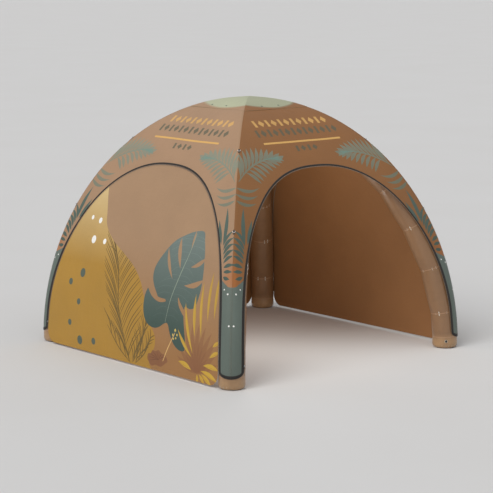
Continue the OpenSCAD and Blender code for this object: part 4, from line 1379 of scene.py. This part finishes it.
# ---- air beams, in the upright plane of a diagonal: [reach, height] ----
def beam_line():
    p = np.radians(np.arange(0, 85))
    z = APEX * np.sin(p)
    n = np.stack([APEX * np.cos(p), RIDGE_A * np.sin(p)], -1)
    n /= np.linalg.norm(n, axis=1)[:, None]
    r = round_at(z)
    half = math.pi / 2 - np.arccos(np.sin(lean(z)) ** 2) / 2
    depth = r + (LEG_ROUND - r) / np.sin(half) + TOP_ROOM * (z / APEX) ** 4
    line = np.stack([RIDGE_A * np.cos(p), z], -1) - depth[:, None] * n
    runs = np.concatenate([[0], np.cumsum(np.linalg.norm(np.diff(line, axis=0), axis=1))])
    last = np.interp(-HUB_REACH, -line[:, 0], runs)
    first = FOOT_H + FIRST_SECTION
    at = first + (last - first) * np.arange(SECTIONS + 1) / SECTIONS
    knots = np.stack([np.interp(at, runs, line[:, 0]), np.interp(at, runs, line[:, 1])], -1)
    leg = LEG_C * math.sqrt(2)
    return np.concatenate([[(leg, PAD_T), (leg, FOOT_H)], knots])


BEAM = beam_line()


def beam_cuts():
    """The direction across the tube at each joint of the beam, so that a section keeps its round."""
    along = np.diff(BEAM, axis=0)
    along /= np.linalg.norm(along, axis=1)[:, None]
    cuts = [np.array([1.0, 0.0])]
    for i in range(1, len(BEAM)):
        if i == len(BEAM) - 1:
            c = np.array([0.0, 1.0])
        else:
            d = along[i - 1] + along[i]
            d /= np.linalg.norm(d)
            c = np.array([d[1], -d[0]])
        d = along[i - 1]
        turn = c[0] * d[1] - c[1] * d[0]
        cuts.append(c / abs(turn) * math.copysign(1, turn))
    return cuts, along


def corner_turned(points, corner):
    a = math.radians(CORNER_TURN[corner])
    p = np.asarray(points)
    return np.stack([p[..., 0] * math.cos(a) - p[..., 1] * math.sin(a),
                     p[..., 0] * math.sin(a) + p[..., 1] * math.cos(a), p[..., 2]], -1)


# depth and number of the foot's folds; run of a section's swell; depth and run of the pinch at a
# seam; half a seam's width, and the height in the layout that marks a seam for its painted highlight
FOOT_FOLD, FOOT_FOLDS, SWELL_RUN, PINCH, PINCH_RUN = 0.0016, 22, 0.07, 0.0022, 0.075
SEAM_RUN, SEAM_MARK = 0.0045, 0.01


def beam_rings(sides, bulge, seed):
    """Rings of points up a beam: a round foot, then sections that swell between their seams."""
    cuts, along = beam_cuts()
    q = np.linspace(0, 2 * math.pi, sides, endpoint=False)
    rng = np.random.default_rng(seed)
    phases = rng.uniform(0, 2 * math.pi, (len(BEAM), 3))
    rings, tall, marks = [], [], []
    low = BEAM[0]
    for k in np.linspace(0, math.pi / 2, 12):
        r = BEAM_R - FOOT_ROUND + FOOT_ROUND * math.sin(k)
        z = PAD_T + FOOT_ROUND * (1 - math.cos(k))
        fold = FOOT_FOLD * np.sin(q * FOOT_FOLDS + phases[0, 0]) * math.sin(k) ** 2
        radius = r - FOOT_FOLD + fold
        rings.append(np.stack([low[0] + radius * np.cos(q), radius * np.sin(q), np.full(sides, z)], -1))
        tall.append(z)
        marks.append(0.0)
    length = tall[-1]
    for i in range(1, len(BEAM)):
        a, b = BEAM[i - 1].copy(), BEAM[i].copy()
        if i == 1:
            a = np.array([low[0], PAD_T + FOOT_ROUND + 0.002])
        size = np.linalg.norm(b - a)
        seam = (0.004, 0.007, 0.012, 0.020, 0.032, 0.05, 0.08)
        shares = sorted([k / size for k in seam if k < size * 0.45]
                        + [1 - k / size for k in seam if k < size * 0.45]
                        + [0.0, 0.28, 0.4, 0.5, 0.6, 0.72, 1.0])
        for k in shares[1:]:
            down, up = k * size, (1 - k) * size
            swell = bulge * (1 - math.exp(-down / SWELL_RUN)) * (1 - math.exp(-up / SWELL_RUN)) * 0.9
            if i == 1:
                swell = bulge * 0.6 * (1 - math.exp(-up / SWELL_RUN))
            pinch = np.zeros(sides)
            for distance, knot in ((down, i - 1), (up, i)):
                if knot < 2:
                    continue
                near = math.exp(-distance / PINCH_RUN)
                belly = 0.35 + 0.65 * (0.5 - 0.5 * np.cos(q))
                wave = (np.sin(q * 17 + phases[knot, 0]) + 0.7 * np.sin(q * 29 + phases[knot, 1])
                        + 0.5 * np.sin(q * 7 + phases[knot, 2]))
                pinch += near * (-PINCH + 0.0017 * wave * belly * (1 - math.exp(-distance / 0.006)))
                pinch += PINCH * math.exp(-(distance / SEAM_RUN) ** 2)
            rise = swell + pinch
            c0, c1 = cuts[i - 1] if i > 1 else cuts[0], cuts[i]
            if i > 1:
                turn = c0[0] * along[i - 1][1] - c0[1] * along[i - 1][0]
                c0 = c0 / abs(turn) * math.copysign(1, turn)
            c = c0 * (1 - k) + c1 * k
            centre = a * (1 - k) + b * k
            radius = BEAM_R + rise
            rings.append(np.stack([centre[0] + radius * np.cos(q) * c[0], radius * np.sin(q),
                                   centre[1] + radius * np.cos(q) * c[1]], -1))
            tall.append(length + k * size)
            marks.append(SEAM_MARK if up < SEAM_RUN or (down < SEAM_RUN and i > 1) else 0.0)
        length += size
    return np.array(rings), np.array(tall), np.array(marks)


HUB_TRIM, HUB_ROUND, HUB_CREASES = 0.006, 0.120, 26


def tube_faces(rings, sides):
    """Faces of a tube of rings with a fan at each end, whose middle points come after the rings."""
    faces, last = grid_faces(rings, sides, False, True), (rings - 1) * sides
    faces += [(rings * sides, (k + 1) % sides, k) for k in range(sides)]
    return faces + [(rings * sides + 1, last + k, last + (k + 1) % sides) for k in range(sides)]


class TENT_OT_beams(bpy.types.Operator):
    """Inflates the four beams and the hub."""
    bl_idname = "tent.beams"
    bl_label = "Air beams"

    def execute(self, context):
        sizes = context.scene.tent_sizes
        sides = sizes.beam_sides
        q = np.linspace(0, 2 * math.pi, sides, endpoint=False)
        for corner, name in enumerate(CORNERS):
            rings, tall, marks = beam_rings(sides, sizes.bulge, 101 + corner)
            count = len(rings)
            middle = rings[0].mean(0)
            points = np.concatenate([rings.reshape(-1, 3), [middle, rings[-1].mean(0)]])
            faces = tube_faces(count, sides)
            lay = np.stack([np.tile(q * BEAM_R, count), np.repeat(tall, sides), np.repeat(marks, sides)], -1)
            lay = np.concatenate([lay, [(0, 0, 0), (0, tall[-1], 0)]])
            piece = new_piece("air_beam_" + name, corner_turned(points, corner), faces,
                              [look_of("sleeve")], lay, sharp=60)
            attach(piece, "tent")
            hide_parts("beam_sleeve_" + name)
        self.make_hub()
        return {"FINISHED"}

    def make_hub(self):
        """A drum of cloth with round edges, a seam round its middle and soft creases."""
        radius, tall, edge = HUB_REACH - HUB_TRIM, BEAM_R, HUB_ROUND
        profile = [(0.0, -tall)]
        profile += [(k, -tall) for k in np.linspace(0.04, radius - edge, 8)]
        profile += [(radius - edge + edge * math.sin(k), -tall + edge * (1 - math.cos(k)))
                    for k in np.linspace(0.1, math.pi / 2, 12)]
        profile += [(radius, z) for z in (-0.02, -0.006)] + [(radius + 0.0015, 0.0)]
        profile += [(r, -z) for r, z in profile[-2::-1]]
        profile = np.array(profile)
        around = 120
        q = np.linspace(0, 2 * math.pi, around, endpoint=False)
        rings = []
        for r, z in profile[1:-1]:
            crease = 0.0013 * np.sin(q * HUB_CREASES + 3 * z / tall) * ease((r - 0.1) / 0.2) * (abs(z) > 0.01)
            out = r - 0.0015 + crease
            rings.append(np.stack([out * np.cos(q), out * np.sin(q), np.full(around, z * 0.995)], -1))
        rings = np.array(rings) + (0, 0, BEAM[-1][1])
        count = len(rings)
        ends = np.array([(0, 0, rings[0][0][2]), (0, 0, rings[-1][0][2])])
        points = np.concatenate([rings.reshape(-1, 3), ends])
        faces = tube_faces(count, around)
        tall_run = np.concatenate([[0], np.cumsum(np.linalg.norm(np.diff(profile[1:-1], axis=0), axis=1))])
        lay = np.stack([np.tile(q * radius, count), np.repeat(tall_run, around),
                        np.zeros(count * around)], -1)
        lay = np.concatenate([lay, [(0, 0, 0), (0, tall_run[-1], 0)]])
        piece = new_piece("hub_cover", points, faces, [look_of("sleeve")], lay, sharp=60)
        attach(piece, "tent")
        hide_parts("hub_sleeve")


# a guy patch: its middle from the ring's height, half its length, its width at the ends and the rest
PATCH_MIDDLE, PATCH_HALF, PATCH_END, PATCH_SWELL = -0.009, 0.029, 0.007, 0.006


class TENT_OT_guy_points(bpy.types.Operator):
    """Sews the patches for the guy loops on the ridges."""
    bl_idname = "tent.guy_points"
    bl_label = "Guy points"

    def execute(self, context):
        parts, rows = [], []
        for side in range(4):
            for z in GUY_LEVELS:
                # a patch folded over the ridge, half of it on each side
                for sign, at in ((1, side), (-1, (side + 1) % 4)):
                    run = float(run_of(z))
                    v = run + PATCH_MIDDLE + PATCH_HALF * np.linspace(-1, 1, 14)
                    height = height_of(v)
                    full = np.sqrt(np.maximum(0, 1 - np.abs((v - (run + PATCH_MIDDLE)) / PATCH_HALF) ** 5))
                    wide = PATCH_END + PATCH_SWELL * full
                    near = np.stack([reach(height) - wide, height], -1) * (sign, 1)
                    far = np.stack([reach(height), height], -1) * (sign, 1)
                    if sign < 0:
                        near, far = far, near
                    outer, inner, layout = band(near, far, on_side,
                                                lambda k: -0.0034, lambda k: 0.0012, 5)
                    parts.append(closed_band(turned(outer, at), turned(inner, at), layout))
                    row = np.stack([reach(height) - wide + 0.003, height], -1) * (sign, 1)
                    rows.append(line_on(row[1:-1], on_side, at, -0.0036))
        points, faces, lay = joined(parts)
        # the frame's own tabs and rings stand over these patches
        patch = new_piece("guy_patches", points, faces, [look_of("patch")], lay)
        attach(patch, "tent")
        row_piece("guy_stitches", "tent", rows, 0.0045, (0.003, 0.0009, 0.0009),
                  look_of("thread_pale"))
        return {"FINISHED"}


FINISHES = (
    ("film", ("beam_bladder_", "hub_bladder", "crossover_tubes")),
    ("rubber", ("foot_pads",)), ("metal", ("zip_slider_",)), ("plastic", ("pull_tab_",)),
    ("tab", ("guy_tabs",)), ("ring", ("guy_ring_",)), ("valve", ("valve_body",)),
    ("plastic", ("valve_cap", "relief_body")), ("valve", ("valve_plunger", "relief_poppet")),
    ("steel", ("valve_spring", "relief_spring")),
)


class TENT_OT_fittings(bpy.types.Operator):
    """Gives the frame's own valves, rings, sliders, pads and bladders their finishes."""
    bl_idname = "tent.fittings"
    bl_label = "Fittings"

    def execute(self, context):
        for name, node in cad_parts.items():
            for look, starts in FINISHES:
                if name.startswith(starts):
                    if node.material_slots:
                        for slot in node.material_slots:
                            slot.link = "OBJECT"
                            slot.material = look_of(look)
                    else:
                        node.data.materials.append(look_of(look))
        return {"FINISHED"}


# the camera: turn and climb in degrees, distance, focal length in mm, and what it looks at
VIEW_TURN, VIEW_CLIMB, VIEW_FAR, VIEW_LENS, VIEW_RIGHT, VIEW_UP = -40.48, 8.96, 23.945, 134.05, -0.030, 1.286
FLOOR_DROP, FLOOR_RINGS = 0.0005, (2.0, 6.0, 20.0, 80.0, 500.0)
SUNS = (("key", -78, 46, 1.80, 40, (1.0, 0.98, 0.96)), ("fill", 20, 60, 0.30, 60, (1.0, 0.95, 0.88)))


def direction(turn, climb):
    """The direction towards a lamp or camera, from its turn and climb in degrees."""
    a, e = math.radians(turn), math.radians(climb)
    return Vector((math.sin(a) * math.cos(e), -math.cos(a) * math.cos(e), math.sin(e)))


class TENT_OT_stage(bpy.types.Operator):
    """Sets the pale floor, the soft light and the camera."""
    bl_idname = "tent.stage"
    bl_label = "Stage"

    def execute(self, context):
        scene = context.scene
        around = 96
        q = np.linspace(0, 2 * math.pi, around, endpoint=False)
        rings = [np.stack([r * np.cos(q), r * np.sin(q), np.full(around, -FLOOR_DROP)], -1)
                 for r in FLOOR_RINGS]
        points = np.concatenate([np.array(rings).reshape(-1, 3), [(0, 0, -FLOOR_DROP)]])
        faces = [f[::-1] for f in grid_faces(len(rings), around, False, True)]
        faces += [(len(points) - 1, k, (k + 1) % around) for k in range(around)]
        pale = Look("Pale floor", Specular_IOR_Level=0.2)
        spread = pale.noise(pale.place(), 0.35, 3.0)
        pale.feed("Base Color", pale.mix(spread, linear("d2d1cf"), linear("d6d6d5")))
        pale.feed("Roughness", spread * 0.1 + 0.8)
        floor = new_piece("floor", points, faces, [pale.material])

        world = bpy.data.worlds.new("Soft room")
        world.use_nodes = True
        sky = world.node_tree.nodes["Background"].inputs
        sky["Color"].default_value, sky["Strength"].default_value = (0.93, 0.95, 1.0, 1), 0.48
        scene.world = world
        for name, turn, climb, power, soft, colour in SUNS:
            lamp = bpy.data.lights.new(name, "SUN")
            lamp.energy, lamp.angle, lamp.color = power, math.radians(soft), colour
            holder = bpy.data.objects.new(name, lamp)
            back = direction(turn, climb)
            holder.rotation_euler = back.to_track_quat("Z", "Y").to_euler()
            holder.location = back * 20
            scene.collection.objects.link(holder)

        lamp = bpy.data.lights.new("inside", "POINT")
        lamp.energy, lamp.shadow_soft_size, lamp.color = 58, 0.6, (1.0, 0.97, 0.93)
        lamp.specular_factor = 0.15
        holder = bpy.data.objects.new("inside", lamp)
        holder.location = (-0.2, -0.4, 1.55)
        holder.visible_camera = False
        scene.collection.objects.link(holder)

        lens = bpy.data.cameras.new("view")
        lens.lens, lens.sensor_width = VIEW_LENS, 36.0
        lens.clip_end = 2000
        camera = bpy.data.objects.new("view", lens)
        back, right = direction(VIEW_TURN, VIEW_CLIMB), direction(VIEW_TURN + 90, 0)
        camera.location = right * VIEW_RIGHT + Vector((0, 0, VIEW_UP)) + back * VIEW_FAR
        camera.rotation_euler = back.to_track_quat("Z", "Y").to_euler()
        scene.collection.objects.link(camera)
        scene.camera = camera
        scene.view_settings.view_transform = "Standard"
        return {"FINISHED"}


STEPS = (TENT_OT_stage, TENT_OT_canopy, TENT_OT_crown, TENT_OT_bindings, TENT_OT_walls, TENT_OT_zips,
         TENT_OT_seams, TENT_OT_beams, TENT_OT_guy_points, TENT_OT_fittings)


class TENT_PT_panel(bpy.types.Panel):
    """Lists the tent's sizes, colours and pieces."""
    bl_idname = "TENT_PT_panel"
    bl_label = "Dome Tent"
    bl_space_type = "VIEW_3D"
    bl_region_type = "UI"
    bl_category = "Dome Tent"

    def draw(self, context):
        column = self.layout.column()
        for group in (context.scene.tent_sizes, context.scene.tent_colours):
            for key in group.__annotations__:
                column.prop(group, key)
        for step in STEPS:
            column.operator(step.bl_idname)


CLASSES = (TentSizes, TentColours) + STEPS + (TENT_PT_panel,)


def register():
    for cls in CLASSES:
        bpy.utils.register_class(cls)
    bpy.types.Scene.tent_sizes = PointerProperty(type=TentSizes)
    bpy.types.Scene.tent_colours = PointerProperty(type=TentColours)


def unregister():
    del bpy.types.Scene.tent_colours
    del bpy.types.Scene.tent_sizes
    for cls in reversed(CLASSES):
        bpy.utils.unregister_class(cls)


def main():
    register()
    for step in STEPS:
        group, call = step.bl_idname.split(".")
        getattr(getattr(bpy.ops, group), call)()


if __name__ == "__main__":
    main()
